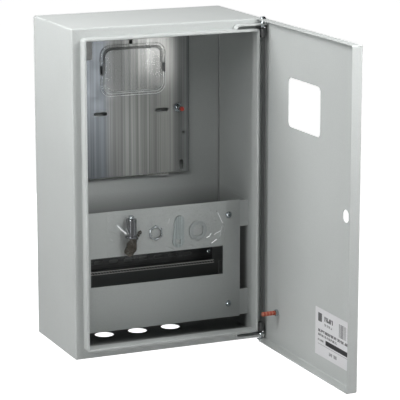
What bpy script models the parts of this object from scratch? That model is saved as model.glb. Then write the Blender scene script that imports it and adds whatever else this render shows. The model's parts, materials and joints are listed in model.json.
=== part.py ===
"""A wall-hung steel box for an electricity meter and one row of breakers, with its door standing open.

Metres, +Z up. The origin is the middle of the face that lies on the wall, and the door side is -Y.
"""

import math

import bmesh
import bpy
from mathutils import Vector

MM = 0.001
GAP = 0.3 * MM  # left between pieces that touch
OVER = 5 * MM  # how far a cutter runs past the face it cuts through
SHEET = 1.2 * MM

# The case
WIDTH = 310 * MM
HEIGHT = 500 * MM
DEPTH = 165 * MM  # from the wall to the front flange
RIM_INSET = 14 * MM  # from the case's side to the raised rim round the mouth
RIM_REACH = 15 * MM  # how far the rim stands in front of the flange
RIM_THICK = 4 * MM  # across the doubled-over rim
RIM_RETURN = 4 * MM  # how far its inner leg runs back past the flange
FRONT_Y = -DEPTH
RIM_Y = FRONT_Y - RIM_REACH
WALL_HOLE_RADIUS = 4.5 * MM
WALL_HOLE_X = 125 * MM
WALL_HOLE_Z = 225 * MM
CABLE_HOLE_RADIUS = 15 * MM
CABLE_HOLES_X = (-66 * MM, -10 * MM, 46 * MM)
CABLE_HOLE_Y = -54 * MM

# The door, worked out shut and then turned about its pivots
DOOR_WIDTH = 308 * MM
DOOR_FOLD = 17 * MM  # depth of the folded edges on three sides
DOOR_SKIN_Y = FRONT_Y - 18.2 * MM  # outer face of the shut door
HINGE_FOLD = 8 * MM
HINGE_FOLD_END = 25 * MM  # the hinge-side fold stops this far from the top and bottom
HINGE_NOTCH = 14.5 * MM  # the top and bottom folds are narrower this close to the hinge edge
HINGE_NOTCH_DEPTH = 3 * MM
DOOR_OPEN = math.radians(90)
PIVOT = Vector((148 * MM, FRONT_Y - 9 * MM, 0))
PIVOT_RADIUS = 2 * MM
PIVOT_CLEARANCE = 0.35 * MM
WINDOW_SIZE = (105 * MM, 74 * MM)
WINDOW_CENTRE = (23.5 * MM, 135 * MM)
WINDOW_CORNER = 9 * MM
LOCK_HOLE_X = -112 * MM
LOCK_HOLE_RADIUS = 9.5 * MM
LOCK_HOLE_FLAT = 8.6 * MM
LABEL_SIZE = (111 * MM, 72 * MM)
LABEL_CENTRE = (-78.5 * MM, -189.5 * MM)
DOOR_STUD_X = 105 * MM
DOOR_STUD_Z = -197 * MM
DOOR_STUD_LENGTH = 25 * MM

# The hinge brackets
BRACKET_SHEET = 2 * MM
BRACKET_RISE = 7 * MM  # top of the bracket above the rim
BRACKET_LEFT = 103 * MM
BRACKET_RIGHT = 152 * MM
BRACKET_BEND = 5 * MM
BRACKET_FRONT = FRONT_Y - 14 * MM
BRACKET_BACK = FRONT_Y - 1 * MM

# The breaker row
PANEL_Y = -115 * MM  # front face
PANEL_SIZE = (278 * MM, 187 * MM)
PANEL_Z = -132.5 * MM
BREAKER_SLOT = (220 * MM, 45 * MM)
PANEL_SCREW = (119 * MM, 71.2 * MM)  # from the panel's middle
TAB_INNER_X = 107 * MM
TAB_HALF_HEIGHT = 20.5 * MM
BRACE_WAIST_Y = -80 * MM  # the side bracket is cut back to here between its tabs
RAIL_LIP_Y = -62 * MM
RAIL_HEIGHT = 35 * MM
RAIL_DEPTH = 7.5 * MM
RAIL_INNER = 25 * MM
RAIL_LENGTH = 236 * MM
RAIL_SHEET = 1 * MM
RAIL_SLOT = (15 * MM, 6.2 * MM)
RAIL_SLOT_PITCH = 25 * MM
RAIL_SCREW_X = 112 * MM

# The meter plate
METER_PLATE_Y = -10 * MM  # front face
METER_PLATE_SHEET = 1 * MM
METER_PLATE_WIDTH = 196 * MM
METER_PLATE_LOW = -9.5 * MM
METER_PLATE_HIGH = 221 * MM
METER_SLOT_X = 51.5 * MM
METER_SLOT_Z = 92 * MM
METER_HOLE_Z = 202 * MM
PLATE_SLOT_X = 85 * MM
PLATE_STUD = (79 * MM, 94 * MM)

# The spare window and the lock kit in its bag
INSERT_SIZE = (109 * MM, 80 * MM)
INSERT_CENTRE = (3 * MM, 159 * MM)
INSERT_FACE = (96 * MM, 68 * MM)
INSERT_DEPTH = 4.4 * MM
LOCK_X = -47.5 * MM
LOCK_Y = PANEL_Y - 11 * MM
LOCK_FACE_Z = -80 * MM  # underside of the lock's head, where the key goes in
LOCK_HEAD_RADIUS = 9.7 * MM
LOCK_BODY_RADIUS = 8 * MM
PLUG_RADIUS = 5.2 * MM
KEY_BOW = (16 * MM, 20 * MM)
KEY_BOW_CORNER = 6.5 * MM
KEY_BLADE = (6 * MM, 24 * MM)
KEY_THICK = 2 * MM
KEY_SHOULDER = 4 * MM  # the bow stops this far from the lock's face
SPARE_KEY = (-46 * MM, -100.8 * MM)
SPARE_KEY_LEAN = math.radians(32)
BAG_LOW = Vector((-84 * MM, -110 * MM))
BAG_HIGH = Vector((112.5 * MM, -41.5 * MM))
FILM = 0.2 * MM


def clear_scene():
    for old in list(bpy.data.objects):
        bpy.data.objects.remove(old)


def collection(name):
    made = bpy.data.collections.new(name)
    bpy.context.scene.collection.children.link(made)
    return made


def material(name, colour, roughness, metallic=0.0, alpha=1.0):
    made = bpy.data.materials.new(name)
    made.use_nodes = True
    shader = made.node_tree.nodes["Principled BSDF"]
    shader.inputs["Base Color"].default_value = (*colour, 1)
    shader.inputs["Roughness"].default_value = roughness
    shader.inputs["Metallic"].default_value = metallic
    shader.inputs["Alpha"].default_value = alpha
    return made


clear_scene()
PARTS = collection("breaker_panel_box")
HELPERS = collection("cutters")
PAINT = material("grey_powder_coat", (0.52, 0.55, 0.54), 0.5)
DARK_PAINT = material("grey_panel_paint", (0.42, 0.45, 0.45), 0.5)
GALVANISED = material("galvanised_steel", (0.42, 0.42, 0.41), 0.32, 1.0)
ZINC = material("zinc_plated_steel", (0.6, 0.61, 0.6), 0.28, 1.0)
CHROME = material("chrome", (0.75, 0.76, 0.78), 0.1, 1.0)
BRASS = material("key_metal", (0.33, 0.28, 0.22), 0.35, 1.0)
CLEAR = material("clear_plastic", (0.9, 0.92, 0.93), 0.08, 0.0, 0.3)
FILM_PLASTIC = material("clear_film", (0.95, 0.95, 0.95), 0.15, 0.0, 0.2)
PAPER = material("paper", (0.8, 0.8, 0.78), 0.7)
RED = material("red_plastic", (0.55, 0.07, 0.04), 0.45)
GREY_PLASTIC = material("grey_plastic", (0.4, 0.42, 0.43), 0.45)


def add(name, mesh, surface, location=(0, 0, 0), parent=None):
    """An object for one sub-part, or a hidden helper where surface is None."""
    made = bpy.data.objects.new(name, mesh)
    made.location = location
    made.parent = parent
    if surface is None:
        HELPERS.objects.link(made)
        made.hide_render = True
        made.display_type = "WIRE"
    else:
        PARTS.objects.link(made)
        mesh.materials.append(surface)
    return made


def place(name, location, turn):
    """An empty that carries other objects."""
    made = bpy.data.objects.new(name, None)
    made.location = location
    made.rotation_euler = turn
    PARTS.objects.link(made)
    return made


def box(name, low, high, surface=None, parent=None):
    low, high = Vector(low), Vector(high)
    mesh = bpy.data.meshes.new(name)
    shape = bmesh.new()
    bmesh.ops.create_cube(shape, size=1)
    bmesh.ops.scale(shape, vec=high - low, verts=shape.verts)
    shape.to_mesh(mesh)
    shape.free()
    return add(name, mesh, surface, (low + high) / 2, parent)


def cylinder(name, radius, length, centre, turn=(0, 0, 0), surface=None, parent=None, sides=32):
    """Its axis is Z until turned."""
    mesh = bpy.data.meshes.new(name)
    shape = bmesh.new()
    bmesh.ops.create_cone(
        shape, cap_ends=True, segments=sides, radius1=radius, radius2=radius, depth=length
    )
    shape.to_mesh(mesh)
    shape.free()
    made = add(name, mesh, surface, centre, parent)
    made.rotation_euler = turn
    return made


def combine(target, other, operation):
    change = target.modifiers.new(other.name, "BOOLEAN")
    change.operation = operation
    change.solver = "EXACT"
    change.object = other


def cut(target, *cutters):
    for cutter in cutters:
        combine(target, cutter, "DIFFERENCE")


def join(target, *others):
    for other in others:
        combine(target, other, "UNION")


def turned(name, profile, surface, location=(0, 0, 0), parent=None, sides=24):
    """A solid of revolution about Z. The profile runs down its outer side from the axis to the axis."""
    mesh = bpy.data.meshes.new(name)
    shape = bmesh.new()
    points = [shape.verts.new((radius, 0, height)) for radius, height in profile]
    for first, second in zip(points, points[1:]):
        shape.edges.new((first, second))
    shape.to_mesh(mesh)
    shape.free()
    made = add(name, mesh, surface, location, parent)
    spin = made.modifiers.new("turn", "SCREW")
    spin.steps = sides
    spin.render_steps = sides
    spin.use_merge_vertices = True
    spin.merge_threshold = 0.01 * MM
    return made


def arc(centre, radius, start, end, steps):
    """Points on an arc, with angles in degrees."""
    found = []
    for step in range(steps + 1):
        angle = math.radians(start + (end - start) * step / steps)
        found.append((centre[0] + radius * math.cos(angle), centre[1] + radius * math.sin(angle)))
    return found


def circle(centre, radius, sides=24):
    return arc(centre, radius, 0, 360 - 360 / sides, sides - 1)


def rectangle(size, centre=(0, 0), corner=0.0, steps=5):
    half_x, half_z = size[0] / 2, size[1] / 2
    if not corner:
        signs = ((1, 1), (-1, 1), (-1, -1), (1, -1))
        return [(centre[0] + x * half_x, centre[1] + z * half_z) for x, z in signs]
    outline = []
    for turn, (x, z) in enumerate(((1, 1), (-1, 1), (-1, -1), (1, -1))):
        middle = (centre[0] + x * (half_x - corner), centre[1] + z * (half_z - corner))
        outline += arc(middle, corner, 90 * turn, 90 * turn + 90, steps)
    return outline


def double_d(centre, radius, half_flat, steps=8):
    """A round hole with two upright flats."""
    edge = math.degrees(math.acos(half_flat / radius))
    return arc(centre, radius, edge, 180 - edge, steps) + arc(centre, radius, 180 + edge, 360 - edge, steps)


def flat_piece(name, outlines, thickness, front_y, surface, parent=None):
    """A plate parallel to the wall: outlines are in (x, z), and front_y is the face towards the door."""
    curve = bpy.data.curves.new(name, "CURVE")
    curve.dimensions = "2D"
    curve.fill_mode = "BOTH"
    curve.extrude = thickness / 2
    for outline in outlines:
        spline = curve.splines.new("POLY")
        spline.points.add(len(outline) - 1)
        for point, (x, z) in zip(spline.points, outline):
            point.co = (x, z, 0, 1)
        spline.use_cyclic_u = True
    source = bpy.data.objects.new(name, curve)
    PARTS.objects.link(source)
    graph = bpy.context.evaluated_depsgraph_get()
    mesh = bpy.data.meshes.new_from_object(source.evaluated_get(graph))
    bpy.data.objects.remove(source)
    shape = bmesh.new()
    shape.from_mesh(mesh)
    bmesh.ops.remove_doubles(shape, verts=shape.verts, dist=0.001 * MM)
    shape.to_mesh(mesh)
    shape.free()
    made = add(name, mesh, surface, (0, front_y + thickness / 2, 0), parent)
    made.rotation_euler = (math.pi / 2, 0, 0)
    return made


def folded_strip(name, profile, to_point, length_axis, length, thickness, surface):
    """A strip of sheet with this cross-section. to_point places a profile point in space."""
    mesh = bpy.data.meshes.new(name)
    shape = bmesh.new()
    points = [shape.verts.new(to_point(*point)) for point in profile]
    edges = [shape.edges.new(pair) for pair in zip(points, points[1:])]
    grown = bmesh.ops.extrude_edge_only(shape, edges=edges)
    moved = [item for item in grown["geom"] if isinstance(item, bmesh.types.BMVert)]
    bmesh.ops.translate(shape, verts=moved, vec=Vector(length_axis) * length)
    bmesh.ops.recalc_face_normals(shape, faces=shape.faces)
    shape.to_mesh(mesh)
    shape.free()
    made = add(name, mesh, surface)
    skin = made.modifiers.new("sheet", "SOLIDIFY")
    skin.thickness = thickness
    skin.offset = 0
    skin.use_even_offset = True
    return made


def screw_profile(head_radius, head_height, shank_radius, shank_length):
    dome = [(0, head_height), (head_radius * 0.55, head_height * 0.92), (head_radius * 0.88, head_height * 0.6)]
    return dome + [(head_radius, head_height * 0.2), (head_radius, 0), (shank_radius, 0),
                   (shank_radius, -shank_length), (0, -shank_length)]


def pan_screw(name, head_radius, head_height, shank_radius, shank_length, location, turn=(0, 0, 0)):
    """A screw with a domed head and a cross recess. The head points along +Z until turned."""
    made = turned(name, screw_profile(head_radius, head_height, shank_radius, shank_length), ZINC, location)
    made.rotation_euler = turn
    long, narrow, deep = head_radius * 0.5, head_radius * 0.11, head_height * 0.45
    for number, (x, y) in enumerate(((long, narrow), (narrow, long))):
        slot = box(f"{name}_recess_{number}", (-x, -y, deep), (x, y, head_height + OVER))
        slot.parent = made
        cut(made, slot)
    return made


def ring_piece(name, outer, hole_radius, thickness, location, turn, surface, sides=24, parent=None):
    """A washer or nut: six sides make a nut."""
    made = cylinder(name, outer, thickness, location, turn, surface, parent, sides)
    bore = cylinder(f"{name}_bore", hole_radius, thickness + 2 * OVER, (0, 0, 0), (0, 0, 0), None, made)
    cut(made, bore)
    return made


FACING_DOOR = (math.pi / 2, 0, 0)


def rim_block(inset, front, back):
    half_x, half_z = WIDTH / 2 - inset, HEIGHT / 2 - inset
    return (-half_x, front, -half_z), (half_x, back, half_z)


def make_case():
    """The welded body: four walls with the front flange, and the doubled-over rim round the mouth."""
    body = box("case_shell", (-WIDTH / 2, FRONT_Y, -HEIGHT / 2), (WIDTH / 2, 0, HEIGHT / 2), PAINT)
    cut(body, box("case_inside", *rim_block(SHEET, FRONT_Y + SHEET, OVER)))
    cut(body, box("flange_opening", *rim_block(RIM_INSET - GAP, FRONT_Y - OVER, FRONT_Y + OVER)))
    for number, x in enumerate(CABLE_HOLES_X):
        hole = cylinder(
            f"cable_hole_{number}", CABLE_HOLE_RADIUS, 4 * OVER, (x, CABLE_HOLE_Y, -HEIGHT / 2)
        )
        cut(body, hole)
    rim = box("case_rim", *rim_block(RIM_INSET, RIM_Y, FRONT_Y + RIM_RETURN), PAINT)
    cut(rim, box("mouth", *rim_block(RIM_INSET + RIM_THICK, RIM_Y - OVER, FRONT_Y + RIM_RETURN + OVER)))
    groove = box("rim_groove", *rim_block(RIM_INSET + SHEET, RIM_Y + SHEET, FRONT_Y + RIM_RETURN + OVER))
    inner_leg = RIM_INSET + RIM_THICK - SHEET
    cut(groove, box("rim_inner_leg", *rim_block(inner_leg, RIM_Y, FRONT_Y + RIM_RETURN + 2 * OVER)))
    cut(rim, groove)


def make_back():
    """The back plate, with four holes for the wall screws."""
    clear = 2 * (SHEET + GAP)
    outlines = [rectangle((WIDTH - clear, HEIGHT - clear))]
    for x in (-WALL_HOLE_X, WALL_HOLE_X):
        for z in (-WALL_HOLE_Z, WALL_HOLE_Z):
            outlines.append(circle((x, z), WALL_HOLE_RADIUS))
    flat_piece("back_plate", outlines, SHEET, -SHEET, PAINT)


def make_hinge_bracket(name, side):
    """A strip that stands on the rim and carries the pivot; side is 1 for the top and -1 for the bottom."""
    middle = BRACKET_SHEET / 2
    rim_z = HEIGHT / 2 - RIM_INSET
    top = rim_z + BRACKET_RISE - middle
    left = BRACKET_LEFT + middle
    bend = arc((left + BRACKET_BEND, top - BRACKET_BEND), BRACKET_BEND, 180, 90, 4)
    profile = [(left, rim_z + GAP)] + bend + [(BRACKET_RIGHT, top)]
    bracket = folded_strip(
        name,
        profile,
        lambda x, z: (x, BRACKET_FRONT, side * z),
        (0, 1, 0),
        BRACKET_BACK - BRACKET_FRONT,
        BRACKET_SHEET,
        PAINT,
    )
    hole = cylinder(f"{name}_hole", PIVOT_RADIUS + GAP, 4 * OVER, (PIVOT.x, PIVOT.y, side * top))
    cut(bracket, hole)


def make_hinges():
    bracket_top = HEIGHT / 2 - RIM_INSET + BRACKET_RISE
    bracket_low = bracket_top - BRACKET_SHEET
    make_hinge_bracket("hinge_bracket_upper", 1)
    make_hinge_bracket("hinge_bracket_lower", -1)
    head_z = HEIGHT / 2 + GAP
    shank = head_z - bracket_low + 5 * MM
    pan_screw("hinge_screw_upper", 4.7 * MM, 3.6 * MM, PIVOT_RADIUS, shank, (PIVOT.x, PIVOT.y, head_z))
    nut_thick = 3.2 * MM
    nut_z = bracket_low - GAP - nut_thick / 2
    nut_at = (PIVOT.x, PIVOT.y, nut_z)
    ring_piece("hinge_nut_upper", 4 * MM, PIVOT_RADIUS + GAP, nut_thick, nut_at, (0, 0, 0), ZINC, 6)
    low_head_z = -bracket_low + GAP
    low_shank = HEIGHT / 2 + low_head_z - GAP
    low_at = (PIVOT.x, PIVOT.y, low_head_z)
    pan_screw("hinge_screw_lower", 4.5 * MM, 3.4 * MM, PIVOT_RADIUS, low_shank, low_at)
    spacer_top = HEIGHT / 2 - SHEET - GAP
    spacer_low = bracket_top + GAP
    for name, side in (("hinge_spacer_upper", 1), ("hinge_spacer_lower", -1)):
        at = (PIVOT.x, PIVOT.y, side * (spacer_top + spacer_low) / 2)
        ring_piece(name, 3.4 * MM, PIVOT_RADIUS + GAP, spacer_top - spacer_low, at, (0, 0, 0), ZINC)


def make_door():
    """The door's skin and folded edge, its earth stud and its label, turned open about the pivots."""
    axis = place("door_axis", PIVOT, (0, 0, DOOR_OPEN))
    lock_edge = -DOOR_WIDTH / 2 - PIVOT.x
    hinge_edge = DOOR_WIDTH / 2 - PIVOT.x
    skin = DOOR_SKIN_Y - PIVOT.y
    inner = skin + SHEET
    free_edge = skin + DOOR_FOLD
    half = HEIGHT / 2
    edge = box("door_edge", (lock_edge, skin, -half), (hinge_edge, free_edge, half), PAINT, axis)
    hollow_low = (lock_edge + SHEET, skin - OVER, -half + SHEET)
    hollow_high = (hinge_edge - SHEET, free_edge + OVER, half - SHEET)
    cut(edge, box("door_hollow", hollow_low, hollow_high, None, axis))
    past = hinge_edge + OVER
    fold_low = (hinge_edge - SHEET - MM, skin + HINGE_FOLD, -half + SHEET)
    cut(edge, box("hinge_fold_cut", fold_low, (past, free_edge + OVER, half - SHEET), None, axis))
    for side in (-1, 1):
        ends = sorted((side * (half - HINGE_FOLD_END), side * (half - SHEET)))
        low = (hinge_edge - SHEET - MM, inner + MM, ends[0])
        high = (past, free_edge + OVER, ends[1])
        cut(edge, box(f"hinge_fold_end_{side}", low, high, None, axis))
    notch_low = (hinge_edge - HINGE_NOTCH, free_edge - HINGE_NOTCH_DEPTH, -half - OVER)
    cut(edge, box("hinge_notch", notch_low, (past, free_edge + OVER, half + OVER), None, axis))
    for side in (-1, 1):
        hole = cylinder(
            f"pivot_hole_{side}", PIVOT_RADIUS + PIVOT_CLEARANCE, 4 * OVER, (0, 0, side * half), parent=axis
        )
        cut(edge, hole)
    clear = 2 * (SHEET + GAP)
    outlines = [
        rectangle((DOOR_WIDTH - clear, HEIGHT - clear)),
        rectangle(WINDOW_SIZE, WINDOW_CENTRE, WINDOW_CORNER),
        double_d((LOCK_HOLE_X, 0), LOCK_HOLE_RADIUS, LOCK_HOLE_FLAT),
    ]
    shifted = [[(x - PIVOT.x, z) for x, z in outline] for outline in outlines]
    flat_piece("door_skin", shifted, SHEET, skin, PAINT, axis)
    label = [(x - PIVOT.x, z) for x, z in rectangle(LABEL_SIZE, LABEL_CENTRE)]
    flat_piece("door_label", [label], 0.3 * MM, inner + GAP, PAPER, axis)
    make_door_stud(axis, inner)


def make_door_stud(axis, inner):
    """An earthing stud welded to the door, with its nut and a push-on plastic cap."""
    x, z = DOOR_STUD_X - PIVOT.x, DOOR_STUD_Z
    low, high = inner + GAP, inner + DOOR_STUD_LENGTH
    centre = (x, (low + high) / 2, z)
    cylinder("door_earth_stud", 2.5 * MM, high - low, centre, FACING_DOOR, ZINC, axis, 20)
    nut_at = (x, inner + 2.6 * MM, z)
    ring_piece("door_earth_nut", 5.4 * MM, 2.8 * MM, 4 * MM, nut_at, FACING_DOOR, ZINC, 6, axis)
    cap_low, cap_high = inner + 5.2 * MM, high + 1.5 * MM
    cap_at = (x, (cap_low + cap_high) / 2, z)
    cap = cylinder("door_stud_cap", 3.5 * MM, cap_high - cap_low, cap_at, FACING_DOOR, RED, axis, 24)
    bore_low, bore_high = cap_low - OVER, high + GAP
    bore_at = (x, (bore_low + bore_high) / 2, z)
    cut(cap, cylinder("cap_bore", 2.8 * MM, bore_high - bore_low, bore_at, FACING_DOOR, None, axis))


def make_side_bracket(name, side):
    """A bracket against a side wall, with two tabs for the panel's screws and one for the rail."""
    outer = side * (WIDTH / 2 - SHEET - GAP)
    inner = outer - side * SHEET
    tab_front = PANEL_Y + SHEET + GAP
    rail_tab_front = RAIL_LIP_Y + RAIL_DEPTH + GAP
    rail_tab_back = rail_tab_front + SHEET
    reach = PANEL_SCREW[1] + TAB_HALF_HEIGHT

    def piece(label, x_pair, y_pair, z_pair, surface=None):
        low = (min(x_pair), y_pair[0], min(z_pair))
        high = (max(x_pair), y_pair[1], max(z_pair))
        return box(label, low, high, surface)

    bottom, top = PANEL_Z - reach, PANEL_Z + reach
    leg = piece(name, (inner, outer), (BRACE_WAIST_Y, rail_tab_back), (bottom, top), PAINT)
    tab_end = side * TAB_INNER_X
    for sign in (-1, 1):
        ends = (PANEL_Z + sign * (PANEL_SCREW[1] - TAB_HALF_HEIGHT), PANEL_Z + sign * reach)
        arm_y = (tab_front, BRACE_WAIST_Y + OVER)
        tab_y = (tab_front, tab_front + SHEET)
        join(leg, piece(f"{name}_arm_{sign}", (inner, outer), arm_y, ends))
        join(leg, piece(f"{name}_tab_{sign}", (tab_end, outer), tab_y, ends))
    rail_ends = (PANEL_Z - RAIL_HEIGHT / 2, PANEL_Z + RAIL_HEIGHT / 2)
    rail_tab_x = (side * (RAIL_SCREW_X - 9 * MM), outer)
    join(leg, piece(f"{name}_rail_tab", rail_tab_x, (rail_tab_front, rail_tab_back), rail_ends))
    screw_x = side * PANEL_SCREW[0]
    for sign in (-1, 1):
        at = (screw_x, tab_front, PANEL_Z + sign * PANEL_SCREW[1])
        cut(leg, cylinder(f"{name}_panel_hole_{sign}", 2.3 * MM, 4 * OVER, at, FACING_DOOR))
    at = (side * RAIL_SCREW_X, rail_tab_front, PANEL_Z)
    cut(leg, cylinder(f"{name}_rail_hole", 2.3 * MM, 4 * OVER, at, FACING_DOOR))


def make_rail():
    """The slotted top-hat rail that breakers clip to, and the screws and nuts that hold it."""
    lip = RAIL_LIP_Y + RAIL_SHEET / 2
    base = RAIL_LIP_Y + RAIL_DEPTH - RAIL_SHEET / 2
    half, web = RAIL_HEIGHT / 2, RAIL_INNER / 2 + RAIL_SHEET / 2
    profile = [(lip, half), (lip, web), (base, web), (base, -web), (lip, -web), (lip, -half)]
    rail = folded_strip(
        "din_rail",
        profile,
        lambda y, z: (-RAIL_LENGTH / 2, y, PANEL_Z + z),
        (1, 0, 0),
        RAIL_LENGTH,
        RAIL_SHEET,
        ZINC,
    )
    count = int((RAIL_LENGTH / 2 - 32 * MM) / RAIL_SLOT_PITCH)
    for number in range(-count, count + 1):
        outline = rectangle(RAIL_SLOT, (number * RAIL_SLOT_PITCH, PANEL_Z), RAIL_SLOT[1] / 2.01, 3)
        cut(rail, flat_piece(f"rail_slot_{number}", [outline], 4 * MM, base - 2 * MM, None))
    floor = RAIL_LIP_Y + RAIL_DEPTH - RAIL_SHEET
    tab_back = RAIL_LIP_Y + RAIL_DEPTH + GAP + SHEET
    for side, word in ((-1, "left"), (1, "right")):
        x = side * RAIL_SCREW_X
        cut(rail, cylinder(f"rail_screw_hole_{word}", 2.3 * MM, 4 * OVER, (x, floor, PANEL_Z), FACING_DOOR))
        at = (x, floor - GAP, PANEL_Z)
        pan_screw(f"rail_screw_{word}", 4 * MM, 2.6 * MM, 2 * MM, 9 * MM, at, FACING_DOOR)
        nut_thick = 3 * MM
        nut_at = (x, tab_back + GAP + nut_thick / 2, PANEL_Z)
        ring_piece(f"rail_nut_{word}", 4 * MM, 2.3 * MM, nut_thick, nut_at, FACING_DOOR, ZINC, 6)


def make_panel():
    """The cover in front of the breakers, with four screws and their washers."""
    spots = []
    for z_sign, z_word in ((1, "upper"), (-1, "lower")):
        for x_sign, x_word in ((-1, "left"), (1, "right")):
            spot = (x_sign * PANEL_SCREW[0], PANEL_Z + z_sign * PANEL_SCREW[1])
            spots.append((f"{z_word}_{x_word}", spot))
    outlines = [rectangle(PANEL_SIZE, (0, PANEL_Z)), rectangle(BREAKER_SLOT, (0, PANEL_Z))]
    outlines += [circle(spot, 2.3 * MM, 16) for _, spot in spots]
    flat_piece("front_panel", outlines, SHEET, PANEL_Y, DARK_PAINT)
    washer = 1 * MM
    for word, (x, z) in spots:
        at = (x, PANEL_Y - GAP - washer / 2, z)
        ring_piece(f"panel_washer_{word}", 5 * MM, 2.3 * MM, washer, at, FACING_DOOR, ZINC)
        head_at = (x, PANEL_Y - washer - 2 * GAP, z)
        pan_screw(f"panel_screw_{word}", 4 * MM, 2.8 * MM, 2 * MM, 10 * MM, head_at, FACING_DOOR)


def make_meter_plate():
    """The galvanised plate that a meter is screwed to. Its folded sides stand it off the back."""
    half = (METER_PLATE_WIDTH - METER_PLATE_SHEET) / 2
    face, back = METER_PLATE_Y + METER_PLATE_SHEET / 2, -SHEET - GAP
    plate = folded_strip(
        "meter_plate",
        [(-half, back), (-half, face), (half, face), (half, back)],
        lambda x, y: (x, y, METER_PLATE_LOW),
        (0, 0, 1),
        METER_PLATE_HIGH - METER_PLATE_LOW,
        METER_PLATE_SHEET,
        GALVANISED,
    )
    openings = [("top_slot", rectangle((6 * MM, 10 * MM), (0, METER_HOLE_Z + 1.5 * MM), 2.99 * MM, 4))]
    for side, word in ((-1, "left"), (1, "right")):
        meter_slot = rectangle((22 * MM, 6 * MM), (side * METER_SLOT_X, METER_SLOT_Z), 2.99 * MM, 4)
        foot_slot = rectangle((7 * MM, 16 * MM), (side * PLATE_SLOT_X, METER_PLATE_LOW + 11.2 * MM), 3.49 * MM, 4)
        small_hole = circle((side * 88 * MM, 54 * MM), 2 * MM, 12)
        openings += [
            (f"meter_slot_{word}", meter_slot),
            (f"foot_slot_{word}", foot_slot),
            (f"small_hole_{word}", small_hole),
        ]
    for name, outline in openings:
        cut(plate, flat_piece(name, [outline], 4 * MM, METER_PLATE_Y - 1.5 * MM, None))


def make_plate_stud():
    """The earthing stud on the meter plate, with a star washer, a nut and a red cap."""
    x, z = PLATE_STUD
    face = METER_PLATE_Y
    stud_long = 17 * MM
    at = (x, face - GAP - stud_long / 2, z)
    cylinder("earth_stud", 2.5 * MM, stud_long, at, FACING_DOOR, ZINC, None, 20)
    teeth = 12
    outline = []
    for number in range(2 * teeth):
        angle = math.pi * number / teeth
        radius = (8 if number % 2 else 6.4) * MM
        outline.append((x + radius * math.cos(angle), z + radius * math.sin(angle)))
    washer_y = face - GAP - 1 * MM
    flat_piece("earth_star_washer", [outline, circle((x, z), 2.8 * MM, 20)], 1 * MM, washer_y, ZINC)
    nut_at = (x, washer_y - GAP - 2 * MM, z)
    ring_piece("earth_nut", 5.4 * MM, 2.8 * MM, 4 * MM, nut_at, FACING_DOOR, ZINC, 6)
    tip = face - GAP - stud_long
    cap_front, cap_back = tip - 1.5 * MM, tip + 7 * MM
    cap_at = (x, (cap_front + cap_back) / 2, z)
    cap = cylinder("earth_stud_cap", 3.5 * MM, cap_back - cap_front, cap_at, FACING_DOOR, RED, None, 24)
    bore_front, bore_back = tip - GAP, cap_back + OVER
    bore_at = (x, (bore_front + bore_back) / 2, z)
    cut(cap, cylinder("earth_cap_bore", 2.8 * MM, bore_back - bore_front, bore_at, FACING_DOOR))


def make_stored_window():
    """The clear window that snaps into the door, stored on the meter plate with its tape and paper."""
    back = METER_PLATE_Y - 2 * GAP
    flange = 1.5 * MM
    insert = flat_piece(
        "window_insert", [rectangle(INSERT_SIZE, INSERT_CENTRE, 12 * MM)], flange, back - flange, CLEAR
    )
    raised = [rectangle(INSERT_FACE, INSERT_CENTRE, 8 * MM)]
    join(insert, flat_piece("insert_face", raised, INSERT_DEPTH - 0.5 * MM, back - INSERT_DEPTH, None))
    for side in (-1, 1):
        x = INSERT_CENTRE[0] + side * (INSERT_SIZE[0] / 2 - 2.5 * MM)
        snap_low = (x - 1.3 * MM, back - INSERT_DEPTH, INSERT_CENTRE[1] - 7 * MM)
        snap_high = (x + 1.3 * MM, back - flange + 0.5 * MM, INSERT_CENTRE[1] + 7 * MM)
        join(insert, box(f"insert_snap_{side}", snap_low, snap_high))
    tape = rectangle((9 * MM, 36 * MM), (-69 * MM, 196 * MM))
    flat_piece("tape_strip", [tape], FILM, METER_PLATE_Y - GAP - FILM, FILM_PLASTIC)
    paper_low = (-36 * MM, METER_PLATE_Y + 3 * MM, -11 * MM)
    paper_high = (67 * MM, METER_PLATE_Y + 3.8 * MM, 60 * MM)
    paper = box("instruction_sheet", paper_low, paper_high, PAPER)
    paper.rotation_euler = (0, math.radians(4.4), 0)


def key_outlines(centre):
    """A bow with a hole for a key ring, and a straight blade that points up from it."""
    x, z = centre
    half = KEY_BLADE[0] / 2
    top = z + KEY_BOW[1] / 2
    tip = top + KEY_BLADE[1]
    bow = rectangle(KEY_BOW, centre, KEY_BOW_CORNER)
    right = [point for point in bow if point[0] > x + half]
    left = [point for point in bow if point[0] < x - half]
    right.sort(key=lambda point: point[1])
    left.sort(key=lambda point: -point[1])
    blade = [(x + half, top), (x + half, tip - 3 * MM), (x, tip), (x - half, tip - 3 * MM), (x - half, top)]
    return [right + blade + left, circle((x, z - KEY_BOW[1] / 2 + 4.5 * MM), 1.8 * MM, 12)]


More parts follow.
